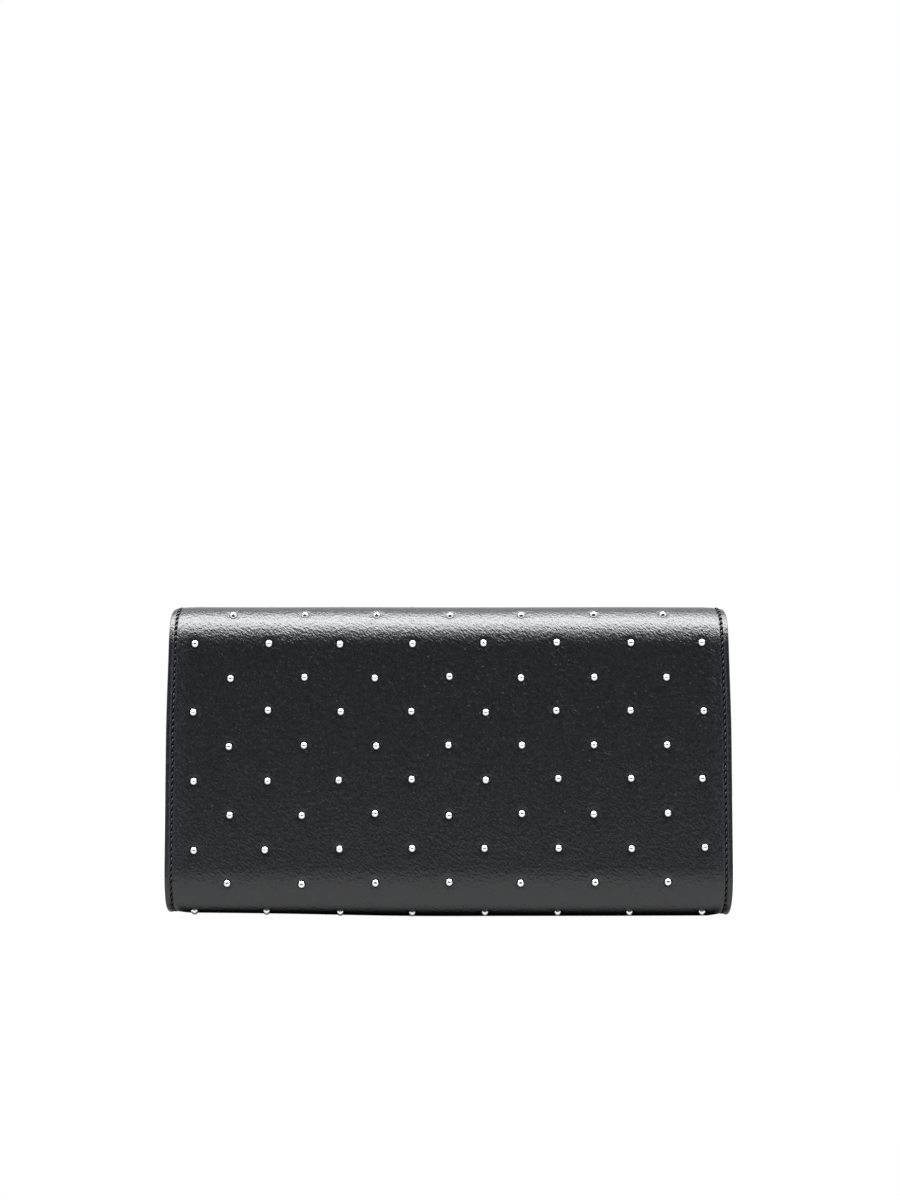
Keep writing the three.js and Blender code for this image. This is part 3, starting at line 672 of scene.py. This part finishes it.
def painted_shade_look():
    # Near-black: painted shade, for the needle holes and the pressed-in ring round each stud.
    look = Look("needle_hole", IOR=1.3, Roughness=0.95, Specular_IOR_Level=0.1)
    shade = look.noise(look.where(source="Object"), 2000, 2)
    look.colour(shade, (0.0008, 0.0008, 0.001), (0.002, 0.002, 0.0024))
    look.bump((shade, 0.02 * MM))
    return look.material


def weave_look(name, dark, light, threads, roughness):
    look = Look(name, IOR=1.45, Sheen_Weight=0.25, Sheen_Roughness=0.4)
    flat = look.where()
    warp, weft = look.bands(flat, threads, "X", 0.3), look.bands(flat, threads, "Y", 0.3)
    cloth = look.math("MULTIPLY", warp, weft)
    fibres = look.math("MULTIPLY", look.noise(flat, 30, 4), 0.5)
    look.colour(look.math("ADD", look.math("MULTIPLY", cloth, 0.7), fibres), dark, light, (0.15, 0.85))
    look.use("Roughness", look.spread(look.noise(flat, 200, 2), roughness - 0.06, roughness + 0.06))
    look.bump((cloth, 0.06 * MM), (look.noise(flat, 900, 2), 0.015 * MM))
    return look.material


def board_look():
    look = Look("board", IOR=1.45)
    flat = look.where()
    fibres = look.noise(look.where((1, 7, 1)), 60, 5, 0.7)
    look.colour(fibres, (0.16, 0.12, 0.08), (0.26, 0.2, 0.14))
    look.use("Roughness", look.spread(look.noise(flat, 90, 3), 0.75, 0.95))
    look.bump((fibres, 0.04 * MM))
    return look.material


def metal_look(name, roughness, brushed=False):
    look = Look(name, Metallic=1.0)
    where = look.where((1, 1, 14) if brushed else (1, 1, 1), source="Object")
    scuffs = look.noise(where, 700, 3, 0.6)
    look.colour(look.noise(where, 160, 3), (0.72, 0.73, 0.75), (0.86, 0.87, 0.88))
    look.use("Roughness", look.spread(scuffs, roughness * 0.6, roughness * 1.4))
    look.bump((scuffs, 0.002 * MM))
    return look.material


OUTER = leather_look("outer_leather", (0.0018, 0.0026, 0.0042), (0.0032, 0.0042, 0.0062), 0.29)
INNER = leather_look("inner_leather", (0.0075, 0.0078, 0.009), (0.012, 0.0122, 0.014), 0.42, 0.7)
PAINT = paint_look()
THREAD = thread_look()
SHADE = painted_shade_look()
LINING = weave_look("lining", (0.010, 0.010, 0.012), (0.032, 0.032, 0.036), 95, 0.72)
TAPE = weave_look("zip_tape", (0.008, 0.008, 0.009), (0.026, 0.026, 0.028), 160, 0.85)
BOARD = board_look()
POLISHED = metal_look("polished_metal", 0.1)
BRUSHED = metal_look("brushed_metal", 0.22, True)


def finish(obj, slot, *materials):
    obj.data.materials.clear()
    for material in materials:
        obj.data.materials.append(material)
    return obj


# ------------ the joints that each leather wall spans; bend only bakes a piece's transform


def at(u, depth=0.0):
    return tuple(place(0.0, u, depth))


BENDS = {
    "back": ("case", "top_fold", at(BACK_TOP), at(CREST)),
    "flap": ("top_fold", "flap", at(CREST), at(FLAP_TOP)),
    "front": ("case", "front", at(FRONT_FOOT + 8 * MM), at(FRONT_FOOT - 8 * MM)),
}


def bend(obj, where):
    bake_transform(obj)


# ------------ leather walls, boards and linings

WALLS = {  # start and stop in u, whether the end is a finished edge, and the nodes that each stands for
    "back": (0.0, SEAM, False, ["back_panel"]),
    "flap": (SEAM, HEM, True, ["fold_panel", "flap_panel"]),
    "front": (0.0, FRONT_TOP, True, ["front_panel"]),
}
LININGS = {
    "back": (0.0, SEAM, ["case_lining"]),
    "flap": (SEAM, HEM - TURN_IN - 0.1 * MM, ["fold_lining", "flap_lining"]),
    "front": (0.0, FRONT_TOP + TURN_IN + 0.1 * MM, ["front_lining"]),
}
LINING_HALF = HALF - TURN_IN - 0.1 * MM

for part, (start, stop, rounded_end, nodes) in WALLS.items():
    leather = finish(wall(part + "_leather", start, stop, rounded_end), "outer_leather", OUTER, PAINT)
    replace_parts(leather, *nodes)
    bend(leather, part)
    sign = 1 if stop > start else -1
    chains = edge_chains(HALF, abs(stop - start), STITCH_INSET, CORNER, rounded_end)
    for face, depth, proud in (("outer", -0.16 * MM, 1), ("inner", WALL + 0.05 * MM, -1)):
        def to_wall(x, v, d, start=start, sign=sign, proud=proud):
            u = start + sign * v
            return place(x, u, d + (crown(STITCH_INSET, u) if proud > 0 else 0))
        # the stitch holes are near-black tubes: painted shade in the needle holes
        holes = Builder() if proud > 0 else None
        row = stitches(f"{part}_stitches_{face}", chains, to_wall, depth, proud=proud, thread=0.27 * MM,
                       holes=holes)
        bend(finish(row, "outer_leather", THREAD), part)
        if holes:
            bend(finish(holes.make(part + "_stitch_holes"), "outer_leather", SHADE), part)

for part, (start, stop, nodes) in LININGS.items():
    lining = sheet(part + "_lining_cloth", start, stop, LINING_HALF, 2.6 * MM, 3.0 * MM)
    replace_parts(finish(lining, "lining", LINING), *nodes)
    bend(lining, part)

BOARD_OUTER, BOARD_INNER = 1.5 * MM, 2.35 * MM
for name, body, start, stop in (
    ("back_board", "case", BACK_FOOT + 3 * MM, BACK_TOP - 3 * MM),
    ("base_board", "case", -BASE_FLAT / 2, BASE_FLAT / 2),
    ("front_board", "front", FRONT_FOOT - 9 * MM, FRONT_TOP + TURN_IN + 0.4 * MM),
    ("flap_board", "flap", FLAP_TOP + 3 * MM, HEM - TURN_IN - 0.4 * MM),
):
    layer = sheet(name + "_sheet", start, stop, HALF - TURN_IN - 0.4 * MM, BOARD_OUTER, BOARD_INNER, 4 * MM)
    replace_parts(finish(layer, "board", BOARD), name)
    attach(layer, body)

# ------------ studs


def dome(cap_steps=10, shoulder_steps=5):
    """(radius, height) from the leather to a stud's tip: a steep shoulder and a cap, slightly peaked."""
    shoulder = [STUD_RADIUS + (STUD_CAP - STUD_RADIUS) * i / shoulder_steps for i in range(shoulder_steps)]
    radii = shoulder + [STUD_CAP * (1 - i / cap_steps) ** 0.85 for i in range(cap_steps + 1)]
    rim_slope, foot_slope = STUD_SLOPES
    out, height = [], 0.0
    for outer, inner in zip(radii, radii[1:]):
        out.append((outer, height))
        middle = (outer + inner) / 2
        slope = rim_slope * min(1, middle / STUD_CAP) ** 0.72
        slope += (foot_slope - rim_slope) * max(0, (middle - STUD_CAP) / (STUD_RADIUS - STUD_CAP))
        height += (outer - inner) * math.tan(math.radians(slope))
    return out + [(0, height)]


STUD_DOME = dome()
STUD_FOOT = [(0, -0.5 * MM), (STUD_RADIUS - 0.1 * MM, -0.5 * MM), (STUD_RADIUS, -0.1 * MM)]  # in the leather
STUD_HEIGHT = STUD_DOME[-1][1]
BASE_ROW, BASE_PROUD = 7 * MM, 0.3 * MM  # studs under the flat of the base stand out only this much
UNDERSIDE, PRESSES, FLOOR_GAP = -0.2, 6, 0.03 * MM  # studs that face down are pressed in to clear the floor
SHADOW_RING_WIDTH = 0.16 * MM  # of the near-black ring round a stud where the leather is pressed in: painted shade in that gap
SHADOW_RING_PROFILE = [(0, -0.4 * MM), (STUD_RADIUS + SHADOW_RING_WIDTH, -0.3 * MM), (STUD_RADIUS + SHADOW_RING_WIDTH, 0.01 * MM),
                (STUD_RADIUS + 0.6 * SHADOW_RING_WIDTH, 0.05 * MM), (STUD_RADIUS, 0.03 * MM), (0, 0.02 * MM)]
for part, (start, stop, _, _) in WALLS.items():
    low, high = sorted((start, stop))
    heads, shadow_rings = Builder(), Builder()
    for x, u in STUDS:
        if not low <= u < high:
            continue
        seat = depth = STUD_DENT - float(waves(np.array(x), np.array(u)))
        axis = outwards(u)
        lean = math.hypot(axis.x, axis.y)
        for _ in range(PRESSES if axis.z < UNDERSIDE else 0):
            lowest = float(place(x, u, depth)[2]) + min(h * axis.z - r * lean for r, h in STUD_DOME)
            depth += max(0, FLOOR_GAP - lowest) / -axis.z
        if abs(u) < BASE_ROW:
            depth = max(depth, STUD_HEIGHT - BASE_PROUD)
        heads.add(turned(STUD_FOOT + STUD_DOME, Vector(place(x, u, depth)), axis))
        # a near-black ring round each stud: painted shade where the leather is pressed in
        shadow_rings.add(turned(SHADOW_RING_PROFILE, Vector(place(x, u, seat)), axis))
    bend(finish(heads.make(part + "_studs"), "silver_metal", POLISHED), part)
    bend(finish(shadow_rings.make(part + "_stud_seats"), "outer_leather", SHADE), part)

# ------------ gussets

GUSSET_LOW, GUSSET_HIGH = 5 * MM, 88 * MM
GUSSET_SKIN = 0.8 * MM
GUSSET_EDGE, GUSSET_PEAK, GUSSET_DEEP = 112 * MM, 105.5 * MM, 96 * MM  # x of its edges and its folds
VALLEY, VALLEY_HALF = 107.5 * MM, 1.8 * MM  # the middle fold, wide enough to clear the coin pocket
DIVIDER_Y = joints["divider_tilt"]["pos_m"][1]


def chaikin(points, rounds):
    points = np.array(points)
    for _ in range(rounds):
        a, b = points[:-1], points[1:]
        cut = np.stack([0.75 * a + 0.25 * b, 0.25 * a + 0.75 * b], 1).reshape(-1, 2)
        points = np.vstack([points[:1], cut, points[-1:]])
    return points


def gusset(name, side):
    levels = GUSSET_LOW + (GUSSET_HIGH - GUSSET_LOW) * np.linspace(0, 1, 40) ** 1.4
    inner = {}
    for face, us in ((1, np.linspace(6 * MM, BACK_TOP, 300)), (-1, np.linspace(-6 * MM, FRONT_TOP, 300))):
        points = place(side * (HALF - 4 * MM), us, WALL + GAP + GUSSET_SKIN / 2)
        inner[face] = np.interp(levels, points[:, 2], points[:, 1])
    vertices, uv = [], []
    for level, back, front in zip(levels, inner[1], inner[-1]):
        deep = GUSSET_DEEP + 1.2 * MM * math.sin(level * 45)
        line = chaikin([(GUSSET_EDGE, back), (GUSSET_PEAK, back), (deep, (back + DIVIDER_Y) / 2),
                        (VALLEY, DIVIDER_Y + VALLEY_HALF), (VALLEY, DIVIDER_Y - VALLEY_HALF),
                        (deep, (front + DIVIDER_Y) / 2), (GUSSET_PEAK, front), (GUSSET_EDGE, front)], 4)
        along = np.gradient(line, axis=0)
        along /= np.linalg.norm(along, axis=1)[:, None]
        across = np.stack([-along[:, 1], along[:, 0]], 1)
        ring = np.vstack([line + across * GUSSET_SKIN / 2, (line - across * GUSSET_SKIN / 2)[::-1]])
        vertices += [(side * x, y, level) for x, y in ring]
        run = np.concatenate([[0], np.cumsum(np.linalg.norm(np.diff(ring, axis=0), axis=1))])
        uv += [(s * TILE, level * TILE) for s in run]
    obj = new_object(name + "_leather", vertices, ring_faces(len(levels), len(ring), capped=False), uv)
    close_up(obj)
    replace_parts(finish(obj, "inner_leather", INNER), name)
    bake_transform(obj)


gusset("left_gusset", -1)
gusset("right_gusset", 1)

# ------------ card slots and slip pocket

POCKET_SKIN = 0.7 * MM


def on_wall(name, node, body, half, middle, low_u, high_u, far):
    """A thin leather slab on the inside of a wall, its free edge at high_u. far is its inner face's depth."""
    sign = 1 if high_u > low_u else -1
    obj = slab(name, half, abs(high_u - low_u), thin_section(0.7),
               lambda x, v, d: place(x + middle, low_u + sign * v, far - d), crease, True, 1.5 * MM)
    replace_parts(finish(obj, "inner_leather", INNER, PAINT), node)
    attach(obj, body)


BACKING_FAR = WALL + GAP + POCKET_SKIN
CARD_LOW = u_at(25 * MM, BACK_FOOT - 15 * MM, BACK_TOP)
SLOT_MIDDLE, SLOT_SEAM = 49 * MM, 45.8 * MM
on_wall("card_backing_leather", "card_backing", "case", 96.5 * MM, 0, CARD_LOW,
        u_at(87 * MM, BACK_FOOT, BACK_TOP), BACKING_FAR)
for label, side in (("left", -1), ("right", 1)):
    for row in (1, 2, 3):
        node = f"card_slot_{label}_{row}"
        top_u = u_at((92 - 9 * row) * MM, BACK_FOOT, BACK_TOP)
        on_wall(node + "_leather", node, "case", 47.5 * MM, side * SLOT_MIDDLE, CARD_LOW, top_u,
                BACKING_FAR + row * (POCKET_SKIN + GAP))
    seam = [[(side * SLOT_MIDDLE + s * SLOT_SEAM, v) for v in spaced(2 * MM, 38 * MM, 1 * MM)]
            for s in (-1, 1)]
    row = stitches(f"card_stitches_{label}", seam, lambda x, v, d: place(x, CARD_LOW + v, d),
                   BACKING_FAR + 3 * (POCKET_SKIN + GAP) + 0.02 * MM, proud=-1)
    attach(finish(row, "inner_leather", THREAD), "case")

SLIP_LOW = FRONT_FOOT - 4 * MM
on_wall("slip_pocket_leather", "slip_pocket", "front", 92 * MM, 0, SLIP_LOW,
        u_at(72 * MM, FRONT_TOP, FRONT_FOOT), BACKING_FAR)
slip_seam = [[(s * 90.2 * MM, v) for v in spaced(2 * MM, 46 * MM, 1 * MM)] for s in (-1, 1)]
row = stitches("slip_pocket_stitches", slip_seam, lambda x, v, d: place(x, SLIP_LOW - v, d),
               BACKING_FAR + 0.02 * MM, proud=-1)
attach(finish(row, "inner_leather", THREAD), "front")

# ------------ coin pocket and its zip

COIN_LOW, COIN_TOP = 7 * MM, 86 * MM
COIN_HALF = 100.5 * MM
COIN_OUTER = 1.8 * MM  # from the divider's middle plane to a skin's outer face
TAPE_HALF, TAPE_LOW, TAPE_HIGH = 92.5 * MM, 78 * MM, 86.45 * MM
TAPE_SECTION = in_mm([(0.5, 0.4), (0.1, 0.4), (0, 0.28), (0, 0.12), (0.1, 0), (0.5, 0)])
TOOTH_COUNT, TOOTH_PITCH, FIRST_TOOTH, TOOTH_Z = 53, 3 * MM, -79.4 * MM, 87.35 * MM
# rings of a tooth, in millimetres: distance from the middle plane, half width and half height
TOOTH = ((2.1, 0.62, 0.6), (1.95, 0.75, 0.74), (1.1, 0.72, 0.74), (0.7, 0.95, 0.7), (0.5, 0.7, 0.5))


def on_divider(side):
    """Mapping for a skin of the coin pocket: the two come together at the sides and at the bottom."""
    def to_space(x, v, depth):
        rim = smooth(1 - np.minimum(COIN_HALF - abs(x), v) / (8 * MM))
        y = DIVIDER_Y + side * (COIN_OUTER - 0.85 * MM * rim - depth)
        return np.stack([x, y, COIN_LOW + v], axis=-1)
    return to_space


for label, side in (("rear", 1), ("front", -1)):
    node = "coin_pocket_" + label
    length = COIN_TOP - COIN_LOW
    skin = slab(node + "_leather", COIN_HALF, length, thin_section(0.8), on_divider(side), step=1.5 * MM)
    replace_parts(finish(skin, "inner_leather", INNER, PAINT), node)
    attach(skin, "divider")
    seams = edge_chains(COIN_HALF, length, 2.2 * MM, 3 * MM, True)
    seams.append([(x, 2.2 * MM) for x in spaced(-97 * MM, 97 * MM, 1 * MM)])
    row = stitches(node + "_stitches", seams, on_divider(side), 0.02 * MM)
    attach(finish(row, "inner_leather", THREAD), "divider")

    tape = slab("zip_tape_" + label + "_cloth", TAPE_HALF, TAPE_HIGH - TAPE_LOW, TAPE_SECTION,
                lambda x, v, d, y=side: np.stack([x, DIVIDER_Y + y * (0.85 * MM - d), TAPE_LOW + v], -1))
    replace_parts(finish(tape, "zip_tape", TAPE), "zip_tape_" + label)
    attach(tape, "divider")

    teeth = Builder()
    first = FIRST_TOOTH + (TOOTH_PITCH / 4 if side > 0 else 0)
    for i in range(TOOTH_COUNT):
        middle = (first + i * TOOTH_PITCH, TOOTH_Z)
        points = [(a, DIVIDER_Y + side * reach * MM, b) for reach, half_x, half_z in TOOTH
                  for a, b in rounded(half_x * MM, half_z * MM, 0.3 * MM, middle, 2)]
        teeth.add((points, ring_faces(len(TOOTH), len(points) // len(TOOTH))))
    row = finish(teeth.make("zip_teeth_" + label + "_row"), "silver_metal", BRUSHED)
    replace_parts(row, "zip_teeth_" + label)
    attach(row, "divider")

for label, side in (("left", -1), ("right", 1)):
    stop = Builder()
    stop.add(pressed(rounded(1.25 * MM, 2.1 * MM, 0.5 * MM, (side * 81.75 * MM, DIVIDER_Y)),
                     86.6 * MM, 88.7 * MM, 0.3 * MM))
    obj = finish(stop.make(f"zip_stop_{label}_clamp"), "silver_metal", BRUSHED)
    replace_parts(obj, "zip_stop_" + label)
    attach(obj, "divider")

pull_x, _, pull_z = joints["pull_swing"]["pos_m"]
slider = Builder()
shield = [(-4.5, 0), (-4.2, 1.6), (-3.2, 2.6), (-1, 3.2), (1.5, 3.55), (3.4, 3.5), (4.3, 2.8), (4.5, 1.4)]
shield += [(a, -b) for a, b in reversed(shield[1:])]
shield = [(pull_x + a * MM, DIVIDER_Y + b * MM) for a, b in shield]
slider.add(pressed(shield, 88.4 * MM, 89.3 * MM, 0.25 * MM))
for side in (-1, 1):
    flange = rounded(3.6 * MM, 0.55 * MM, 0.35 * MM, (pull_x + 0.5 * MM, DIVIDER_Y + side * 2.98 * MM), 3)
    slider.add(pressed(flange, 86.7 * MM, 88.7 * MM, 0.2 * MM))
arch = [(pull_x + 2.0 * MM * math.cos(a), DIVIDER_Y, 89.1 * MM + 2.3 * MM * math.sin(a) ** 0.7)
        for a in np.linspace(0.001, math.pi - 0.001, 15)]
slider.add(tube(arch, 0.45 * MM, 10))
body = finish(slider.make("zip_slider_body"), "silver_metal", POLISHED)
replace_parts(body, "zip_slider")
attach(body, "zip_slider")

pull = Builder()
pin = [(pull_x, DIVIDER_Y + y * MM, pull_z) for y in (-1.7, -0.8, 0.8, 1.7)]
pull.add(tube(pin, 0.34 * MM, 10, across=(0, 0, 1)))
for side in (-1, 1):
    cheek = rounded(2.5 * MM, 0.55 * MM, 0.4 * MM, (pull_x + 1.7 * MM, DIVIDER_Y + side * 1.65 * MM), 3)
    pull.add(pressed(cheek, pull_z - 0.5 * MM, pull_z + 0.5 * MM, 0.2 * MM))
blade = rounded(5.7 * MM, 2.45 * MM, 1.9 * MM, (pull_x + 9.3 * MM, DIVIDER_Y), 6)
blade = [(a, DIVIDER_Y + (b - DIVIDER_Y) * (0.8 + 0.2 * (a - pull_x) / (15 * MM))) for a, b in blade]
pull.add(pressed(blade, pull_z - 0.5 * MM, pull_z + 0.5 * MM, 0.22 * MM))
tab = finish(pull.make("zip_pull_tab"), "silver_metal", POLISHED)
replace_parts(tab, "zip_pull")
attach(tab, "zip_pull")

# ------------ magnetic snap

SNAP_STUD_U = u_at(SNAP_HEIGHT, FLAP_TOP, HEM)
SNAPS = (  # node, body, u, depth, the way it faces, and (radius, height) pairs in millimetres
    ("snap_socket", "front", SOCKET_U, 0.38 * MM, 1,
     [(0, -1.2), (6.2, -1.2), (6.9, -0.5), (7, -0.1), (6.8, 0.35), (6.3, 0.52), (5.2, 0.5), (4.5, 0.35),
      (4, 0), (3.8, -0.6), (3.4, -0.62), (0, -0.62)]),
    ("snap_stud", "flap", SNAP_STUD_U, WALL + 0.02 * MM, -1,
     [(0, -0.1), (6.9, -0.1), (7, 0.05), (6.8, 0.3), (6.3, 0.45), (3, 0.5), (2.5, 0.55), (2.4, 0.8),
      (2.3, 1.1), (1.9, 1.25), (0, 1.28)]),
    ("snap_stud_plate", "flap", SNAP_STUD_U, 1.72 * MM, -1,
     [(0, 0), (6.7, 0), (7, 0.2), (6.7, 0.45), (0, 0.45)]),
)
for node, body_name, u, depth, sign, profile in SNAPS:
    piece = Builder()
    piece.add(turned(in_mm(profile), Vector(at(u, depth)), sign * outwards(u), 48))
    obj = finish(piece.make(node + "_disc"), "silver_metal", BRUSHED)
    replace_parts(obj, node)
    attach(obj, body_name)

# ------------ D-rings and their leather tabs

RING_HALF, RING_DROP, RING_CORNER = 7 * MM, 12 * MM, 1.6 * MM
TAB_RISE, TAB_RADIUS = 6.5 * MM, 2.25 * MM
TAB_LEGS = [(TAB_RISE,), (TAB_RADIUS, 220), (2.706 * MM,), (1.0 * MM, -40), (2.3 * MM,)]
TAB_PATH = walk(math.radians(90), TAB_LEGS, 0.1 * MM)
TAB_SECTION = in_mm([(0.6, 0.97), (0.2, 0.97), (0.05, 0.85), (0, 0.6), (0, 0.35), (0.05, 0.12), (0.2, 0),
                     (0.6, 0)])


def tab_place(ring, axis_y, axis_z):
    """Mapping for a tab: it runs up beside the lining, round the ring's bar and down again."""
    lean = math.radians(BACK_LEAN)

    def to_space(x, v, depth):
        y, z, heading = (np.interp(v, TAB_PATH[:, 0], TAB_PATH[:, i]) for i in (1, 2, 3))
        y = y + TAB_RADIUS - depth * np.sin(heading)
        z = z - TAB_RISE + depth * np.cos(heading)
        turned_y = y * math.cos(lean) - z * math.sin(lean)
        turned_z = y * math.sin(lean) + z * math.cos(lean)
        return np.stack([ring + x, axis_y + turned_y, axis_z + turned_z], axis=-1)
    return to_space


def ring_corner(side, start, stop):
    return [(side * (RING_HALF - RING_CORNER * (1 - math.sin(a))), -RING_CORNER * (1 - math.cos(a)))
            for a in np.linspace(start, stop, 7)]


for label, side in (("left", -1), ("right", 1)):
    _, joint_y, joint_z = joints[label + "_ring_swing"]["pos_m"]
    ring_x = (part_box(label + "_ring")[0].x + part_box(label + "_ring")[1].x) / 2
    path = [(a * RING_HALF, 0) for a in (-0.7, -0.35, 0, 0.35, 0.7)]
    path += ring_corner(1, 0.15, math.pi / 2)
    path += [(RING_HALF * math.cos(a), -RING_CORNER - (RING_DROP - RING_CORNER) * math.sin(a))
             for a in np.linspace(0.06, math.pi - 0.06, 40)]
    path += ring_corner(-1, math.pi / 2, 0.15)
    wire = Builder()
    wire.add(tube([(ring_x + a, joint_y, joint_z + b) for a, b in path], 1 * MM, 16, closed=True))
    obj = finish(wire.make(label + "_ring_wire"), "silver_metal", POLISHED)
    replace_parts(obj, label + "_ring")
    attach(obj, label + "_ring")

    mapping = tab_place(ring_x, joint_y, joint_z)
    end = TAB_PATH[-1][0]
    strap = slab(label + "_ring_tab_leather", 5 * MM, end, TAB_SECTION, mapping, None, False, 0.35 * MM)
    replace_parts(finish(strap, "inner_leather", INNER, PAINT), label + "_ring_tab")
    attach(strap, "case")
    seam = [[(x, end - 1.1 * MM) for x in spaced(-4.2 * MM, 4.2 * MM, 0.5 * MM)]]
    row = stitches(label + "_ring_tab_stitches", seam, mapping, 0.02 * MM, 2.1 * MM, 1.6 * MM)
    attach(finish(row, "inner_leather", THREAD), "case")

# ------------ floor, lights and camera

FLOOR_Y, FLOOR_GLOW = (-0.6, 0.42), (0.98, 1.05)  # its glow is given near the wallet and far from it; the lower glow near the wallet is a painted soft shadow
SHADOW_RIM = (("X", 0.106, 0.114), ("Y", 0.014, 0.0205))  # where the floor comes clear of the wallet's painted shadow
WORLD_BRIGHT, WORLD_DARK, WORLD_ABOVE = 1.0, 0.07, 0.32


def staged_floor():
    near, far = FLOOR_Y
    floor = new_object("floor", [(-4, near, 0), (4, near, 0), (4, far, 0), (-4, far, 0)], [(0, 1, 2, 3)])
    look = Look("floor", Roughness=0.9, Specular_IOR_Level=0.0, Emission_Color=(1, 1, 1, 1))
    where = look.where(source="Object")
    look.colour(look.noise(where, 40, 2), (0.045,) * 3, (0.055,) * 3)
    reach = look.node("VectorMath", {0: where}, operation="LENGTH").outputs["Value"]
    inputs = {"Value": reach, "From Min": 0.2, "From Max": 0.75}
    inputs["To Min"], inputs["To Max"] = FLOOR_GLOW
    glow = look.node("MapRange", inputs).outputs["Result"]
    split = look.node("SeparateXYZ", {"Vector": where}).outputs
    # Under the wallet the floor's glow is cut off for all but camera rays: a painted shadow.
    clear = [look.soft_step(look.math("ABSOLUTE", split[axis], 0.0), start, stop)
             for axis, start, stop in SHADOW_RIM]
    seen = look.node("LightPath").outputs["Is Camera Ray"]
    clear = look.math("MAXIMUM", look.math("MAXIMUM", *clear), seen)
    look.use("Emission Strength", look.math("MULTIPLY", glow, clear))
    floor.data.materials.append(look.material)


def studio_world():
    """White behind the object. What it reflects is white too, but for a dark patch behind the camera."""
    world = bpy.data.worlds.new("studio")
    bpy.context.scene.world = world
    world.use_nodes = True
    sky = Nodes(world.node_tree)
    split = sky.node("SeparateXYZ", {0: sky.node("TexCoord").outputs["Generated"]}).outputs
    sideways = sky.soft_step(sky.math("ABSOLUTE", split["X"], 0.0), 0.62, 0.92)
    behind = sky.soft_step(sky.math("MULTIPLY", split["Y"], -1.0), 0.0, 0.35)
    bright = sky.math("MULTIPLY", sky.math("MAXIMUM", sideways, behind), WORLD_BRIGHT - WORLD_DARK)
    above = sky.math("MULTIPLY", sky.soft_step(split["Z"], 0.3, 0.85), WORLD_ABOVE)  # spill round the softbox
    level = sky.math("MAXIMUM", *(sky.math("ADD", part, WORLD_DARK) for part in (bright, above)))
    lit = sky.node("Background", {"Color": (0.97, 0.985, 1, 1), "Strength": level})
    white = sky.node("Background", {"Color": (1, 1, 1, 1)})
    seen = sky.node("LightPath").outputs["Is Camera Ray"]
    mixed = sky.node("MixShader", {0: seen, 1: lit.outputs[0], 2: white.outputs[0]})
    sky.node("OutputWorld", {"Surface": mixed.outputs[0]})


def softbox(name, centre, target, size, radiance):
    light = bpy.data.lights.new(name, "AREA")
    light.shape = "RECTANGLE"
    light.size, light.size_y = size
    light.energy = radiance * math.pi * size[0] * size[1]
    obj = bpy.data.objects.new(name, light)
    obj.location = centre
    obj.rotation_euler = (Vector(target) - Vector(centre)).to_track_quat("-Z", "Y").to_euler()
    bpy.context.scene.collection.objects.link(obj)
    obj.visible_camera = False


staged_floor()
studio_world()
softbox("overhead", (0, 0.145, 1.25), (0, 0.145, 0), (3.0, 0.94), 16.0)

CAMERA_X, CAMERA_DISTANCE, CAMERA_HEIGHT = -0.5 * MM, 1.0, 128.4 * MM
CAMERA_PITCH, CAMERA_LENS = -0.083, 74.43
camera_data = bpy.data.cameras.new("camera")
camera_data.sensor_width = 36
camera_data.lens = CAMERA_LENS
camera = bpy.data.objects.new("camera", camera_data)
camera.location = (CAMERA_X, CAMERA_DISTANCE + MIDDLE_Y, CAMERA_HEIGHT)
camera.rotation_euler = (math.radians(90 + CAMERA_PITCH), 0, math.radians(180))
bpy.context.scene.collection.objects.link(camera)
bpy.context.scene.camera = camera
bpy.context.scene.view_settings.view_transform = "Standard"
